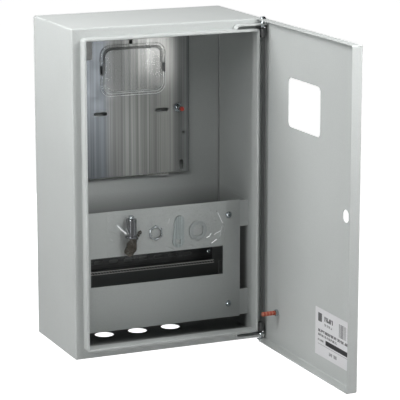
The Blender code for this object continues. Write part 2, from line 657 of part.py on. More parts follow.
def make_lock_kit():
    """The lock that is packed with the box: cylinder, keys, nut, cam and seal, all loose in a bag."""
    head, body = 3 * MM, 27 * MM
    plug_clear = PLUG_RADIUS + GAP
    housing_profile = [
        (plug_clear, head + body),
        (LOCK_BODY_RADIUS, head + body),
        (LOCK_BODY_RADIUS, head),
        (LOCK_HEAD_RADIUS, head),
        (LOCK_HEAD_RADIUS, 0.6 * MM),
        (LOCK_HEAD_RADIUS - 0.6 * MM, 0),
        (plug_clear, 0),
        (plug_clear, head + body),
    ]
    at = (LOCK_X, LOCK_Y, LOCK_FACE_Z)
    turned("lock_housing", housing_profile, CHROME, at, None, 28)
    axis = place("key_axis", at, (0, 0, 0))
    plug_top = head + body + 4.5 * MM
    plug_profile = [(0, plug_top), (PLUG_RADIUS, plug_top), (PLUG_RADIUS, 0), (0, 0)]
    plug = turned("lock_plug", plug_profile, ZINC, (0, 0, 0), axis, 24)
    keyway_half = KEY_BLADE[0] / 2 + GAP
    keyway_deep = KEY_BLADE[1] - KEY_SHOULDER + MM
    slot_low = (-keyway_half, -KEY_THICK / 2 - GAP, -OVER)
    cut(plug, box("keyway", slot_low, (keyway_half, KEY_THICK / 2 + GAP, keyway_deep), None, axis))
    for side in (-1, 1):
        edge = sorted((side * 3.2 * MM, side * 9 * MM))
        low, high = (edge[0], -9 * MM, head + body + GAP), (edge[1], 9 * MM, plug_top + OVER)
        cut(plug, box(f"plug_flat_{side}", low, high, None, axis))
    bow = (0, -KEY_SHOULDER - KEY_BOW[1] / 2)
    flat_piece("key_in_lock", key_outlines(bow), KEY_THICK, -KEY_THICK / 2, BRASS, axis)
    spare_y = PANEL_Y - KEY_THICK / 2 - 2 * GAP
    spare_place = place("spare_key_place", (SPARE_KEY[0], spare_y, SPARE_KEY[1]), (0, SPARE_KEY_LEAN, 0))
    flat_piece("spare_key", key_outlines((0, 0)), KEY_THICK, -KEY_THICK / 2, BRASS, spare_place)
    nut_thick = 3 * MM
    nut_at = (-4 * MM, PANEL_Y - 2 * GAP - nut_thick / 2, -78.2 * MM)
    ring_piece("lock_nut", 12 * MM, 8.2 * MM, nut_thick, nut_at, FACING_DOOR, ZINC, 6)
    make_cam()
    seal_at = (67 * MM, -80.8 * MM)
    seal = [circle(seal_at, 15 * MM, 32), double_d(seal_at, 9.4 * MM, 8 * MM)]
    flat_piece("lock_seal", seal, 1.6 * MM, PANEL_Y - 2 * GAP - 1.6 * MM, GREY_PLASTIC)


def make_cam():
    """The flat tongue that turns behind the rim when the lock is fitted."""
    low, high = (33.8 * MM, -95.5 * MM), (35.8 * MM, -62.7 * MM)
    low_radius, high_radius = 9.4 * MM, 7.8 * MM
    outline = arc(low, low_radius, 180, 360, 10) + arc(high, high_radius, 0, 180, 10)
    square = rectangle((7.4 * MM, 7.4 * MM), low)
    flat_piece("lock_cam", [outline, square], 2 * MM, PANEL_Y - 2 * GAP - 2 * MM, GALVANISED)


def bag_height(x, z):
    """How far the film stands off the panel: a tent over each packed piece."""
    mounds = (
        (LOCK_X, -78 * MM, 13 * MM, 40 * MM, 22 * MM),
        (-42 * MM, -90 * MM, 20 * MM, 30 * MM, 4 * MM),
        (-4 * MM, -78.2 * MM, 14 * MM, 14 * MM, 4.8 * MM),
        (34.8 * MM, -78 * MM, 11 * MM, 29 * MM, 3.8 * MM),
        (67 * MM, -80.8 * MM, 17 * MM, 17 * MM, 3.4 * MM),
    )
    found = 0.0
    for centre_x, centre_z, half_x, half_z, height in mounds:
        out_x = max(0.0, abs(x - centre_x) - half_x - 6 * MM)
        out_z = max(0.0, abs(z - centre_z) - half_z - 6 * MM)
        found = max(found, height - 1.1 * math.hypot(out_x, out_z))
    return max(found, 1 * MM)


def make_bag():
    """The clear bag's front film, draped over the lock kit and taped to the panel."""
    size = BAG_HIGH - BAG_LOW
    mesh = bpy.data.meshes.new("kit_bag")
    shape = bmesh.new()
    bmesh.ops.create_grid(shape, x_segments=32, y_segments=10, size=0.5)
    for point in shape.verts:
        x = BAG_LOW.x + (point.co.x + 0.5) * size.x
        z = BAG_LOW.y + (point.co.y + 0.5) * size.y
        point.co = (x, z, bag_height(x, z))
    shape.to_mesh(mesh)
    shape.free()
    film = add("kit_bag", mesh, FILM_PLASTIC, (0, PANEL_Y, 0))
    film.rotation_euler = FACING_DOOR
    skin = film.modifiers.new("film", "SOLIDIFY")
    skin.thickness = FILM
    skin.offset = 1


def shade_round_pieces():
    for made in PARTS.objects:
        if made.type == "MESH":
            made.data.shade_smooth()
            made.data.set_sharp_from_angle(angle=math.radians(35))


make_case()
make_back()
make_hinges()
make_door()
make_side_bracket("side_bracket_left", -1)
make_side_bracket("side_bracket_right", 1)
make_rail()
make_panel()
make_meter_plate()
make_plate_stud()
make_stored_window()
make_lock_kit()
make_bag()
shade_round_pieces()
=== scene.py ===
"""The looks of the breaker panel box: folded and painted sheet steel, plating, clear plastic and print.

Metres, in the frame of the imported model: +Z up, the wall at y = 0, the door side at -Y.
"""

import json
import math

import bmesh
import bpy
from mathutils import Matrix, Vector, noise


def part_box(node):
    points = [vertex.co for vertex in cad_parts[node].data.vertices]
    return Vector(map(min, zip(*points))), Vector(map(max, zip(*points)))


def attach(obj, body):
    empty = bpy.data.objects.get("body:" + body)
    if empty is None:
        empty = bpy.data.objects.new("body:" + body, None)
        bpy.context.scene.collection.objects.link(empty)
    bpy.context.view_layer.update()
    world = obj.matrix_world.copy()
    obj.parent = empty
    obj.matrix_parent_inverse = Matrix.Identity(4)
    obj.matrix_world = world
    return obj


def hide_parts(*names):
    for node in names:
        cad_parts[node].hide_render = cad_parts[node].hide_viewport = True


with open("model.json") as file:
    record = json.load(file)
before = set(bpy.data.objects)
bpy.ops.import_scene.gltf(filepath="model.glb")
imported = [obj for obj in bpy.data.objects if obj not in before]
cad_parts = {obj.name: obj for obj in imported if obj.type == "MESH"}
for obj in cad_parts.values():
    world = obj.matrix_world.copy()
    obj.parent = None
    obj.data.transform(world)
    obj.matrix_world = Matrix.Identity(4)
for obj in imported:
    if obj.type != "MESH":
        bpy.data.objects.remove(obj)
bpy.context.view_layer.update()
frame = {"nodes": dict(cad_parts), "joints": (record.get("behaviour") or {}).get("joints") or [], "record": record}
NODES = frame["nodes"]
MM = 0.001

CASE_LOW, CASE_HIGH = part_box("case_shell")
RIM_LOW, RIM_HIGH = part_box("case_rim")
SHEET = 1.2 * MM
FLANGE_Y = CASE_LOW.y
RIM_Y = RIM_LOW.y
RIM_INSET = CASE_HIGH.x - RIM_HIGH.x
RIM_THICK = 4 * MM  # across the doubled-over rim
RIM_CORNER = 5 * MM
FOLD = 2.8 * MM  # outer radius of the sheet's folds
CABLE_HOLE_RADIUS = 15 * MM
PIVOT = Vector(frame["joints"][0]["pos_m"])
OPEN = math.radians(90)
WINDOW_HALF = (52.5 * MM, 37 * MM)
WINDOW_CENTRE = (23.5 * MM, 135 * MM)
WINDOW_CORNER = 9 * MM
LOCK_HOLE_X = -112 * MM
LOCK_HOLE_RADIUS, LOCK_HOLE_FLAT = 9.5 * MM, 8.6 * MM
HINGE_HOLE_RADIUS = 2.35 * MM
HINGE_FOLD, HINGE_FOLD_END = 8 * MM, 25 * MM  # its depth, and where it stops from the door's ends
HINGE_NOTCH, HINGE_NOTCH_DEPTH = 14.5 * MM, 3 * MM
PANEL_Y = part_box("front_panel")[0].y
PLATE_HALF_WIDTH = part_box("meter_plate")[1].x
SPARE_KEY, SPARE_KEY_LEAN = (-46 * MM, -100.8 * MM), math.radians(32)
SMOOTH_BELOW = math.radians(32)  # edges sharper than this stay sharp
SHANK = 2 * MM  # radius of the M4 screws
FLOOR_DROP = 0.2  # from the case's underside to the floor
CAMERA_PLACE = (-1.1851, -2.9711, 0.6589)
CAMERA_DOWN, CAMERA_TURN = math.radians(12.515), math.radians(-23.737)
CAMERA_LENS = 186.6


# ---- materials


class Nodes:
    """A material's node tree, with short ways to add to it."""

    def __init__(self, name, colour, roughness, metallic=0.0):
        self.material = bpy.data.materials.new(name)
        self.material.use_nodes = True
        self.tree = self.material.node_tree
        self.shader = self.tree.nodes["Principled BSDF"]
        self.set("Base Color", (*colour, 1))
        self.set("Roughness", roughness)
        self.set("Metallic", metallic)
        self.place = self.add("ShaderNodeTexCoord").outputs["Object"]

    def set(self, socket, value):
        self.shader.inputs[socket].default_value = value

    def add(self, kind, **values):
        made = self.tree.nodes.new(kind)
        for key, value in values.items():
            setattr(made, key, value)
        return made

    def link(self, out, into):
        self.tree.links.new(out, into)

    def feed(self, out, socket):
        self.link(out, self.shader.inputs[socket])

    def fed(self, socket):
        """What feeds a socket so far."""
        return self.shader.inputs[socket].links[0].from_socket

    def math(self, operation, *values, clamp=False):
        made = self.add("ShaderNodeMath", operation=operation, use_clamp=clamp)
        for slot, value in zip(made.inputs, values):
            if isinstance(value, (int, float)):
                slot.default_value = value
            else:
                self.link(value, slot)
        return made.outputs[0]

    def times(self, first, *others):
        for other in others:
            first = self.math("MULTIPLY", first, other)
        return first

    def off(self, value, middle):
        """How far a value is from the middle."""
        return self.math("ABSOLUTE", self.math("SUBTRACT", value, middle))

    def streaks(self, scale):
        """A noise stretched along one axis or two."""
        made = self.add("ShaderNodeMapping")
        made.inputs["Scale"].default_value = scale
        self.link(self.place, made.inputs["Vector"])
        return made.outputs[0]

    def noise(self, scale, detail=2.0, roughness=0.5, vector=None, distortion=0.0):
        made = self.add("ShaderNodeTexNoise")
        made.inputs["Scale"].default_value = scale
        made.inputs["Detail"].default_value = detail
        made.inputs["Roughness"].default_value = roughness
        made.inputs["Distortion"].default_value = distortion
        self.link(vector or self.place, made.inputs["Vector"])
        return made.outputs["Fac"]

    def ramp(self, value, stops):
        made = self.add("ShaderNodeValToRGB")
        elements = made.color_ramp.elements
        while len(elements) < len(stops):
            elements.new(0.5)
        for element, (position, colour) in zip(elements, stops):
            element.position = position
            element.color = (*colour, 1)
        self.link(value, made.inputs["Fac"])
        return made.outputs["Color"]

    def mottled(self, value, first, second):
        """From one colour to another over the usual range of a noise."""
        return self.ramp(value, ((0.3, first), (0.7, second)))

    def mix(self, factor, first, second, blend="MIX"):
        made = self.add("ShaderNodeMix", data_type="RGBA", blend_type=blend)
        for slot, value in ((0, factor), (6, first), (7, second)):
            if isinstance(value, (int, float)):
                made.inputs[slot].default_value = value
            elif isinstance(value, tuple):
                made.inputs[slot].default_value = (*value, 1)
            else:
                self.link(value, made.inputs[slot])
        return made.outputs[2]

    def spread(self, value, low, high, to_low, to_high):
        made = self.add("ShaderNodeMapRange")
        for slot, number in zip(made.inputs[1:5], (low, high, to_low, to_high)):
            slot.default_value = number
        self.link(value, made.inputs[0])
        return made.outputs[0]

    def vary(self, value, low, high):
        """From low to high over the usual range of a noise."""
        return self.spread(value, 0.3, 0.7, low, high)

    def above(self, value, start, end):
        return self.spread(value, start, end, 0.0, 1.0)

    def below(self, value, start, end):
        return self.spread(value, start, end, 1.0, 0.0)

    def bump(self, height, strength, distance, before=None):
        made = self.add("ShaderNodeBump")
        made.inputs["Strength"].default_value = strength
        made.inputs["Distance"].default_value = distance
        self.link(height, made.inputs["Height"])
        if before is not None:
            self.link(before, made.inputs["Normal"])
        return made.outputs["Normal"]

    def axes(self):
        made = self.add("ShaderNodeSeparateXYZ")
        self.link(self.place, made.inputs[0])
        return made.outputs


def scaled(values, factor):
    return tuple(part * factor for part in values)


def powder_coat(name, colour, roughness, texture=1.0):
    """Sprayed and baked paint: an even colour with a fine grain and a faint orange peel."""
    n = Nodes(name, colour, roughness)
    grain = n.noise(1100, 2, 0.6)
    tone = n.mottled(n.noise(7, 3), scaled(colour, 0.97), scaled(colour, 1.02))
    speckle = n.ramp(grain, ((0.35, (0.95, 0.95, 0.95)), (0.65, (1.03, 1.03, 1.03))))
    n.feed(n.mix(1.0, tone, speckle, "MULTIPLY"), "Base Color")
    n.feed(n.vary(grain, roughness - 0.05, roughness + 0.07), "Roughness")
    peel = n.bump(n.noise(260, 2), 0.10 * texture, 0.3 * MM)
    n.feed(n.bump(grain, 0.22 * texture, 0.12 * MM, peel), "Normal")
    return n


def painted_shade_behind_cover(n, colour):
    """Painted shade: darker paint behind the cover, and a painted shadow line in the inner back corners, where
    light hardly reaches.
    """
    x, y, z = n.axes()
    out = n.math("ABSOLUTE", x)
    inside = n.times(
        n.below(out, CASE_HIGH.x - 1.1 * MM, CASE_HIGH.x - 0.5 * MM),
        n.above(z, CASE_LOW.z + 0.9 * MM, CASE_LOW.z + 1.1 * MM),
        n.below(y, -0.9 * MM, -0.5 * MM),
    )
    # Painted shade behind the cover, low down and deep in the case.
    deep = n.above(y, PANEL_Y + 2 * MM, PANEL_Y + 16 * MM)
    low = n.below(z, -75 * MM, -35 * MM)
    tone = n.mix(n.times(inside, deep, low, 0.9), n.fed("Base Color"), scaled(colour, 0.22))
    # A painted shadow line along the inner back corners.
    beside = n.above(out, CASE_HIGH.x - 3.1 * MM, CASE_HIGH.x - 2.7 * MM)
    back = n.above(y, -4.6 * MM, -4.0 * MM)
    n.feed(n.mix(n.times(beside, back, inside, 0.8), tone, scaled(colour, 0.2)), "Base Color")
    return n


def painted_shade_in_fold(n, colour):
    """Painted shade deep in the door's fold by the hinge, seen with the door open."""
    x, y, _ = n.axes()
    fold_y, skin_x = PIVOT.y + 6 * MM, PIVOT.x + 9.2 * MM
    deep = n.times(
        n.above(y, fold_y - 3.2 * MM, fold_y - 2.0 * MM),
        n.below(y, fold_y - 0.7 * MM, fold_y - 0.4 * MM),
        n.below(x, skin_x - 0.9 * MM, skin_x - 0.6 * MM),
        0.9,
    )
    # Painted shade in the fold.
    n.feed(n.mix(deep, n.fed("Base Color"), scaled(colour, 0.2)), "Base Color")
    return n


def seam_paint(name, colour, roughness):
    """Powder coat with painted shade behind the cover and in the inner back corners, and a ground weld along the
    mitres of the front flange's corners.
    """
    n = painted_shade_behind_cover(powder_coat(name, colour, roughness), colour)
    x, y, z = n.axes()
    across = n.math("SUBTRACT", n.math("ABSOLUTE", x), CASE_HIGH.x)
    along = n.math("SUBTRACT", n.math("ABSOLUTE", z), CASE_HIGH.z)
    wobble = n.vary(n.noise(300, 2), -0.25 * MM, 0.25 * MM)
    line = n.below(n.math("ADD", n.off(across, along), wobble), 0.1 * MM, 0.7 * MM)
    seam = n.times(line, n.below(y, FLANGE_Y + 1.0 * MM, FLANGE_Y + 1.4 * MM))
    n.feed(n.mix(n.times(seam, 0.3), n.fed("Base Color"), scaled(colour, 0.62)), "Base Color")
    n.feed(n.bump(n.times(seam, -1.0), 0.5, 0.3 * MM, n.fed("Normal")), "Normal")
    return n


def rolled(name, colour, roughness, stretch, painted_reflections=(), bumpy=0.05):
    """Zinc-coated sheet: smooth rolling streaks of several widths, and, where given, painted reflection bands
    along X.
    """
    n = Nodes(name, colour, roughness, 0.6)
    tone = colour
    for scale, low, high in ((22, 0.8, 1.18), (95, 0.76, 1.22), (420, 0.78, 1.18), (1500, 0.9, 1.08)):
        streaks = n.noise(1.0, 2, 0.5, n.streaks(scaled(stretch, scale)))
        levels = n.ramp(streaks, ((0.32, (low,) * 3), (0.68, (high,) * 3)))
        tone = n.mix(1.0, tone, levels, "MULTIPLY")
    # Painted reflection bands along X.
    if painted_reflections:
        x, _, _ = n.axes()
        half = PLATE_HALF_WIDTH
        stops = [((place * MM + half) / (2 * half), shades) for place, shades in painted_reflections]
        tone = n.mix(1.0, tone, n.ramp(n.above(x, -half, half), stops), "MULTIPLY")
    n.feed(tone, "Base Color")
    n.feed(n.vary(n.noise(40, 2, 0.5), roughness - 0.02, roughness + 0.04), "Roughness")
    fine = n.noise(1.0, 2, 0.5, n.streaks(scaled(stretch, 700)))
    n.feed(n.bump(fine, bumpy, 0.05 * MM), "Normal")
    return n


def plated(name, colour, roughness, stain=0.12):
    """Bright plating on small turned and pressed parts, with faint stains."""
    n = Nodes(name, colour, roughness, 1.0)
    cloud = n.noise(160, 3, 0.5)
    n.feed(n.mottled(cloud, scaled(colour, 1 - stain), scaled(colour, 1.05)), "Base Color")
    n.feed(n.vary(cloud, roughness * 0.8, roughness * 1.3), "Roughness")
    n.feed(n.bump(n.noise(900, 2), 0.06, 0.05 * MM), "Normal")
    return n


def plastic(name, colour, roughness):
    """Moulded plastic with a fine satin skin."""
    n = Nodes(name, colour, roughness)
    skin = n.noise(700, 3)
    n.feed(n.mottled(skin, scaled(colour, 0.9), scaled(colour, 1.06)), "Base Color")
    n.feed(n.vary(skin, roughness - 0.05, roughness + 0.08), "Roughness")
    n.feed(n.bump(skin, 0.15, 0.08 * MM), "Normal")
    return n


def clear(name, colour, roughness, facing, edge, grain_scale, grain):
    """Clear plastic: nearly unseen face on, and whiter at a glancing angle."""
    n = Nodes(name, colour, roughness)
    weight = n.add("ShaderNodeLayerWeight")
    weight.inputs["Blend"].default_value = 0.35
    n.feed(n.spread(weight.outputs["Facing"], 0.1, 1.0, facing, edge), "Alpha")
    ripple = n.noise(grain_scale, 3)
    n.feed(n.vary(ripple, roughness * 0.7, roughness * 1.5), "Roughness")
    n.feed(n.bump(ripple, grain, 0.4 * MM), "Normal")
    n.feed(n.mottled(ripple, scaled(colour, 0.93), colour), "Base Color")
    return n


def creased_film():
    """Clear bag film: fine wrinkles, and painted highlights with a faint painted glow along a few folds. Places
    are in mm on the cover.
    """
    n = Nodes("bag_film", (0.93, 0.94, 0.94), 0.16)
    x, _, z = n.axes()
    mask = None
    folds = (  # painted highlights along folds: from here to there, half width, and brightness
        (-72, -56.5, -59, -72, 2.0, 0.85), (-61, -60, -55.5, -73, 0.7, 0.5),
        (19.5, -56, 16.5, -69, 0.8, 0.55), (91, -87.5, 77, -93, 1.2, 0.95),
        (100.5, -97, 88, -104.5, 1.2, 1.0), (98, -52, 111, -77, 0.9, 0.75),
        (108, -74, 103, -98, 0.8, 0.6), (107.3, -84, 92, -92, 0.9, 0.8),
        (88, -50, 97, -70, 0.7, 0.5), (-82, -78, -74, -86, 0.5, 0.3),
        (-80, -69, -70, -72, 0.4, 0.25), (-12.5, -44, -12, -107, 0.35, 0.2),
        (-31, -47, -30, -108, 0.3, 0.14), (14, -101, 26, -107, 0.5, 0.3),
        (48, -98, 62, -106, 0.5, 0.25),
    )
    wobble = n.vary(n.noise(120, 2), -0.5 * MM, 0.5 * MM)
    for ax, az, bx, bz, width, strength in folds:
        long = math.hypot(bx - ax, bz - az)
        ux, uz = (bx - ax) / long, (bz - az) / long
        along = n.math("MULTIPLY_ADD", x, ux, n.math("MULTIPLY_ADD", z, uz, -(ax * ux + az * uz) * MM))
        side = n.math("MULTIPLY_ADD", x, -uz, n.math("MULTIPLY_ADD", z, ux, (ax * uz - az * ux) * MM))
        off = n.math("ABSOLUTE", n.math("ADD", side, wobble))
        near = n.spread(off, 0.3 * width * MM, width * MM, strength, 0.0)
        near = n.times(near, n.below(n.off(along, long / 2 * MM), long * 0.3 * MM, long * 0.55 * MM))
        mask = near if mask is None else n.math("MAXIMUM", mask, near)
    fine = n.noise(1.0, 4, 0.6, n.streaks((55, 55, 130)), 0.8)
    wrinkle = n.spread(n.off(fine, 0.5), 0.0, 0.02, 0.10, 0.0)
    haze = n.spread(n.noise(18, 2), 0.35, 0.65, 0.02, 0.07)
    n.feed(n.math("ADD", n.math("MAXIMUM", mask, wrinkle), haze, clamp=True), "Alpha")
    n.feed(n.vary(fine, 0.12, 0.28), "Roughness")
    n.feed(n.bump(fine, 0.5, 0.6 * MM), "Normal")
    # Painted highlights along the folds: a whiter colour and a faint glow.
    n.feed(n.mix(mask, (0.80, 0.82, 0.82), (0.97, 0.98, 0.98)), "Base Color")
    n.set("Emission Color", (0.95, 1, 1, 1))
    n.feed(n.times(mask, 0.4), "Emission Strength")
    return n.material


PAINT_COLOUR = (0.575, 0.60, 0.59)
# The case's paint carries painted shade behind the cover and in the inner back corners.
PAINT = seam_paint("case_powder_coat", PAINT_COLOUR, 0.42).material
# The door's paint carries painted shade in its hinge fold.
DOOR_PAINT = painted_shade_in_fold(powder_coat("door_powder_coat", PAINT_COLOUR, 0.42), PAINT_COLOUR).material
INNER_COAT = powder_coat("inner_powder_coat", scaled(PAINT_COLOUR, 0.98), 0.44)
# The inside paint carries painted shade behind the cover and in the inner back corners.
INNER_PAINT = painted_shade_behind_cover(INNER_COAT, PAINT_COLOUR).material
PANEL_PAINT = powder_coat("cover_powder_coat", (0.49, 0.515, 0.505), 0.4, 0.7).material
PLATE_PAINTED_REFLECTIONS = (  # painted reflection bands across the meter plate: mm from its middle, and a colour factor
    (-98, (0.58, 0.63, 0.70)), (-46, (0.60, 0.65, 0.72)), (-36, (0.9, 0.91, 0.93)), (-28, (1.0, 1.0, 1.0)),
    (-18, (0.9, 0.9, 0.9)), (-10, (1.25, 1.25, 1.24)), (-2, (1.0, 1.0, 0.99)), (4, (1.12, 1.12, 1.1)),
    (12, (0.98, 0.98, 0.96)), (29.6, (0.98, 0.98, 0.96)), (30.6, (0.5, 0.5, 0.5)), (31.6, (1.0, 1.0, 0.98)),
    (60, (1.05, 1.04, 1.01)), (82, (0.92, 0.93, 0.93)), (98, (0.84, 0.86, 0.88)),
)
METER_STEEL = rolled("meter_plate_zinc", (0.36, 0.365, 0.36), 0.21, (1, 1, 0.004), PLATE_PAINTED_REFLECTIONS, 0.12).material
CAM_STEEL = rolled("cam_steel", (0.42, 0.47, 0.47), 0.38, (1, 1, 0.03)).material
ZINC = plated("fastener_zinc", (0.46, 0.50, 0.52), 0.14).material
CHROME = plated("lock_chrome", (0.22, 0.225, 0.24), 0.07, 0.04).material
NUT_CHROME = plated("nut_chrome", (0.42, 0.45, 0.47), 0.08, 0.08).material
KEY_METAL = plated("key_nickel", (0.14, 0.118, 0.09), 0.16, 0.75).material
CLEAR = clear("clear_moulding", (0.78, 0.8, 0.81), 0.07, 0.05, 0.6, 60, 0.06).material
# The clear moulding's snap tabs, coloured dark as painted shade.
SNAP_PAINTED_SHADE = plastic("clear_snap", (0.10, 0.105, 0.11), 0.25).material
FILM = creased_film()
TAPE = clear("clear_tape", (0.84, 0.83, 0.78), 0.25, 0.4, 0.75, 120, 0.2).material
SLEEVE = plastic("dark_sleeve", (0.06, 0.063, 0.063), 0.5).material
GREY_RUBBER = plastic("seal_plastic", (0.40, 0.43, 0.43), 0.42).material


def rail_zinc():
    """Zinc on the rail, coloured very dark as painted shade, with painted highlights along the edges of its lips
    and a painted reflection of ribs between them, which glow a little.
    """
    # Very dark zinc, as painted shade.
    n = rolled("rail_zinc", (0.07, 0.072, 0.072), 0.3, (0.01, 1, 1))
    low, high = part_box("din_rail")
    x, y, z = n.axes()
    # Painted highlights: two lines along each lip's edges, and a painted reflection of ribs between them.
    lip = n.below(y, low.y + 1.1 * MM, low.y + 1.5 * MM)
    outer = n.math("SUBTRACT", (high.z - low.z) / 2, n.off(z, (low.z + high.z) / 2))
    first = n.below(outer, 0.5 * MM, 0.9 * MM)
    second = n.below(n.off(outer, 4.4 * MM), 0.3 * MM, 0.6 * MM)
    slanted = n.math("MULTIPLY_ADD", x, 210.0, n.times(z, 160.0))
    ribs = n.times(n.math("GREATER_THAN", n.math("FRACT", slanted), 0.55), 0.3)
    bright = n.times(n.math("MAXIMUM", n.math("MAXIMUM", first, second), ribs), lip)
    n.feed(n.mix(bright, n.fed("Base Color"), (0.9, 0.89, 0.86)), "Base Color")
    n.feed(n.spread(bright, 0.0, 1.0, 0.6, 0.1), "Metallic")
    # The painted highlights also glow faintly.
    n.set("Emission Color", (1, 0.98, 0.95, 1))
    n.feed(n.times(bright, 0.1), "Emission Strength")
    return n.material


def moulding_edge():
    """The sides of a clear moulding, with painted light: a painted highlight with a faint painted glow below, and
    painted shade above.
    """
    low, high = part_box("window_insert")
    n = Nodes("clear_moulding_edge", (0.86, 0.88, 0.88), 0.1)
    x, _, z = n.axes()
    # Painted highlight and glow low on the sides, painted shade high on them.
    down = n.below(n.math("MULTIPLY_ADD", x, -0.25, z), low.z + 12 * MM, high.z - 8 * MM)
    light = n.times(down, n.spread(n.noise(90, 2), 0.35, 0.65, 0.7, 1.2))
    n.feed(n.mix(light, (0.12, 0.125, 0.13), (0.9, 0.92, 0.92)), "Base Color")
    n.set("Emission Color", (0.9, 0.95, 0.95, 1))
    n.feed(n.times(light, 0.22), "Emission Strength")
    n.feed(n.vary(n.noise(60, 2), 0.45, 0.75), "Alpha")
    return n.material


def cap_plastic():
    """A dark push-on cap with a red end."""
    low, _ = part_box("earth_stud_cap")
    n = plastic("cap_plastic", (0.52, 0.05, 0.03), 0.3)
    _, y, _ = n.axes()
    end = n.below(y, low.y + 3.2 * MM, low.y + 4.2 * MM)
    n.feed(n.mix(end, (0.12, 0.11, 0.11), n.fed("Base Color")), "Base Color")
    return n.material


def label_print():
    """White paper with dark bars and blocks where a label has its print."""
    low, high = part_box("door_label")
    n = Nodes("label_paper", (0.8, 0.8, 0.81), 0.5)
    _, y, z = n.axes()
    across, up = n.above(y, high.y, low.y), n.above(z, low.z, high.z)

    def band(value, start, end):
        return n.times(n.math("GREATER_THAN", value, start), n.math("LESS_THAN", value, end))

    words = n.math("GREATER_THAN", n.noise(1.0, 1, 0.5, n.streaks((1, 380, 150))), 0.44)
    rows = n.math("LESS_THAN", n.math("FRACT", n.times(up, 21.0)), 0.5)
    bars = n.math("GREATER_THAN", n.noise(1.0, 1, 0.5, n.streaks((1, 900, 1))), 0.5)
    blocks = (  # start and end across, bottom and top, darkness, and a pattern if it isn't solid
        (0.08, 0.19, 0.72, 0.90, 0.85),
        (0.26, 0.50, 0.77, 0.87, 0.9, words),
        (0.26, 0.48, 0.67, 0.72, 0.6, words),
        (0.66, 0.95, 0.60, 0.88, 0.85, bars),
        (0.08, 0.95, 0.50, 0.56, 0.8, words),
        (0.08, 0.62, 0.42, 0.47, 0.75, words),
        (0.30, 0.97, 0.28, 0.38, 1.0),
        (0.08, 0.24, 0.31, 0.35, 0.7, words),
        (0.08, 0.95, 0.22, 0.25, 0.5, rows),
        (0.40, 0.62, 0.10, 0.17, 0.55, words),
    )
    ink = None
    for start, end, bottom, top, strength, *pattern in blocks:
        inked = n.times(band(across, start, end), band(up, bottom, top), *pattern, strength)
        ink = inked if ink is None else n.math("MAXIMUM", ink, inked)
    fibre = n.mottled(n.noise(900, 2), (0.77, 0.77, 0.79), (0.83, 0.83, 0.84))
    n.feed(n.mix(ink, fibre, (0.012, 0.012, 0.014)), "Base Color")
    return n.material


def sheet_print():
    """Thin paper with faint printed rows."""
    n = Nodes("instruction_paper", (0.8, 0.8, 0.78), 0.6)
    _, _, z = n.axes()
    rows = n.math("LESS_THAN", n.math("FRACT", n.times(z, 260.0)), 0.35)
    words = n.math("GREATER_THAN", n.noise(1.0, 1, 0.5, n.streaks((260, 1, 260))), 0.5)
    fibre = n.mottled(n.noise(700, 2), (0.76, 0.76, 0.74), (0.83, 0.83, 0.81))
    n.feed(n.mix(n.times(rows, words, 0.5), fibre, (0.2, 0.2, 0.2)), "Base Color")
    return n.material


def striped_sleeve():
    """Red plastic sleeve with paler rings."""
    n = Nodes("striped_sleeve", (0.52, 0.07, 0.035), 0.42)
    x, _, _ = n.axes()
    turn = n.math("FRACT", n.times(x, 190.0))
    rings = n.ramp(turn, ((0.35, (0.5, 0.05, 0.02)), (0.5, (0.62, 0.2, 0.11))))
    n.feed(n.mix(n.vary(n.noise(500, 2), 0.0, 0.3), rings, (0.36, 0.04, 0.02)), "Base Color")
    n.feed(n.bump(n.noise(600, 3), 0.2, 0.1 * MM), "Normal")
    return n.material


# ---- shapes


def arc(centre, radius, start, end, steps):
    """Points on an arc, with angles in degrees."""
    found = []
    for step in range(steps + 1):
        angle = math.radians(start + (end - start) * step / steps)
        found.append((centre[0] + radius * math.cos(angle), centre[1] + radius * math.sin(angle)))
    return found


def rounded_loop(half_x, half_z, radius, centre=(0, 0), steps=5):
    """A rounded rectangle's points, one arc for each corner."""
    loop = []
    for turn, (x, z) in enumerate(((1, 1), (-1, 1), (-1, -1), (1, -1))):
        middle = (centre[0] + x * (half_x - radius), centre[1] + z * (half_z - radius))
        loop += arc(middle, radius, 90 * turn, 90 * turn + 90, steps)
    return loop


def filleted(points, steps=5, closed=True):
    """(a, b, radius) points with each corner turned into an arc of its radius."""
    found = []
    count = len(points)
    for number, (a, b, radius) in enumerate(points):
        here = Vector((a, b))
        if radius <= 0 or (not closed and number in (0, count - 1)):
            found.append(here)
            continue
        before = (Vector(points[number - 1][:2]) - here).normalized()
        after = (Vector(points[(number + 1) % count][:2]) - here).normalized()
        half = before.angle(after) / 2
        reach = radius / math.tan(half)
        centre = here + (before + after).normalized() * (radius / math.sin(half))
        first, last = here + before * reach - centre, here + after * reach - centre
        sweep = first.angle_signed(last)
        for step in range(steps + 1):
            found.append(centre + Matrix.Rotation(-sweep * step / steps, 2) @ first)
    return found


def added(name, data):
    """A new object in the scene."""
    made = bpy.data.objects.new(name, data)
    bpy.context.scene.collection.objects.link(made)
    return made


def shade_evenly(made):
    made.data.shade_smooth()
    made.data.set_sharp_from_angle(angle=SMOOTH_BELOW)
    made.modifiers.new("even shading", "WEIGHTED_NORMAL").keep_sharp = True


def new_object(name, mesh, material, body, replaced=()):
    made = added(name, mesh)
    mesh.materials.append(material)
    shade_evenly(made)
    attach(made, body)
    if replaced:
        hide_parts(*replaced)
    return made


def taken(shape, name):
    """A finished bmesh as a mesh."""
    mesh = bpy.data.meshes.new(name)
    shape.to_mesh(mesh)
    shape.free()
    return mesh


def mesh_of(shape, name):
    """A solid's bmesh as a mesh, with its faces turned outwards."""
    bmesh.ops.recalc_face_normals(shape, faces=shape.faces)
    return taken(shape, name)


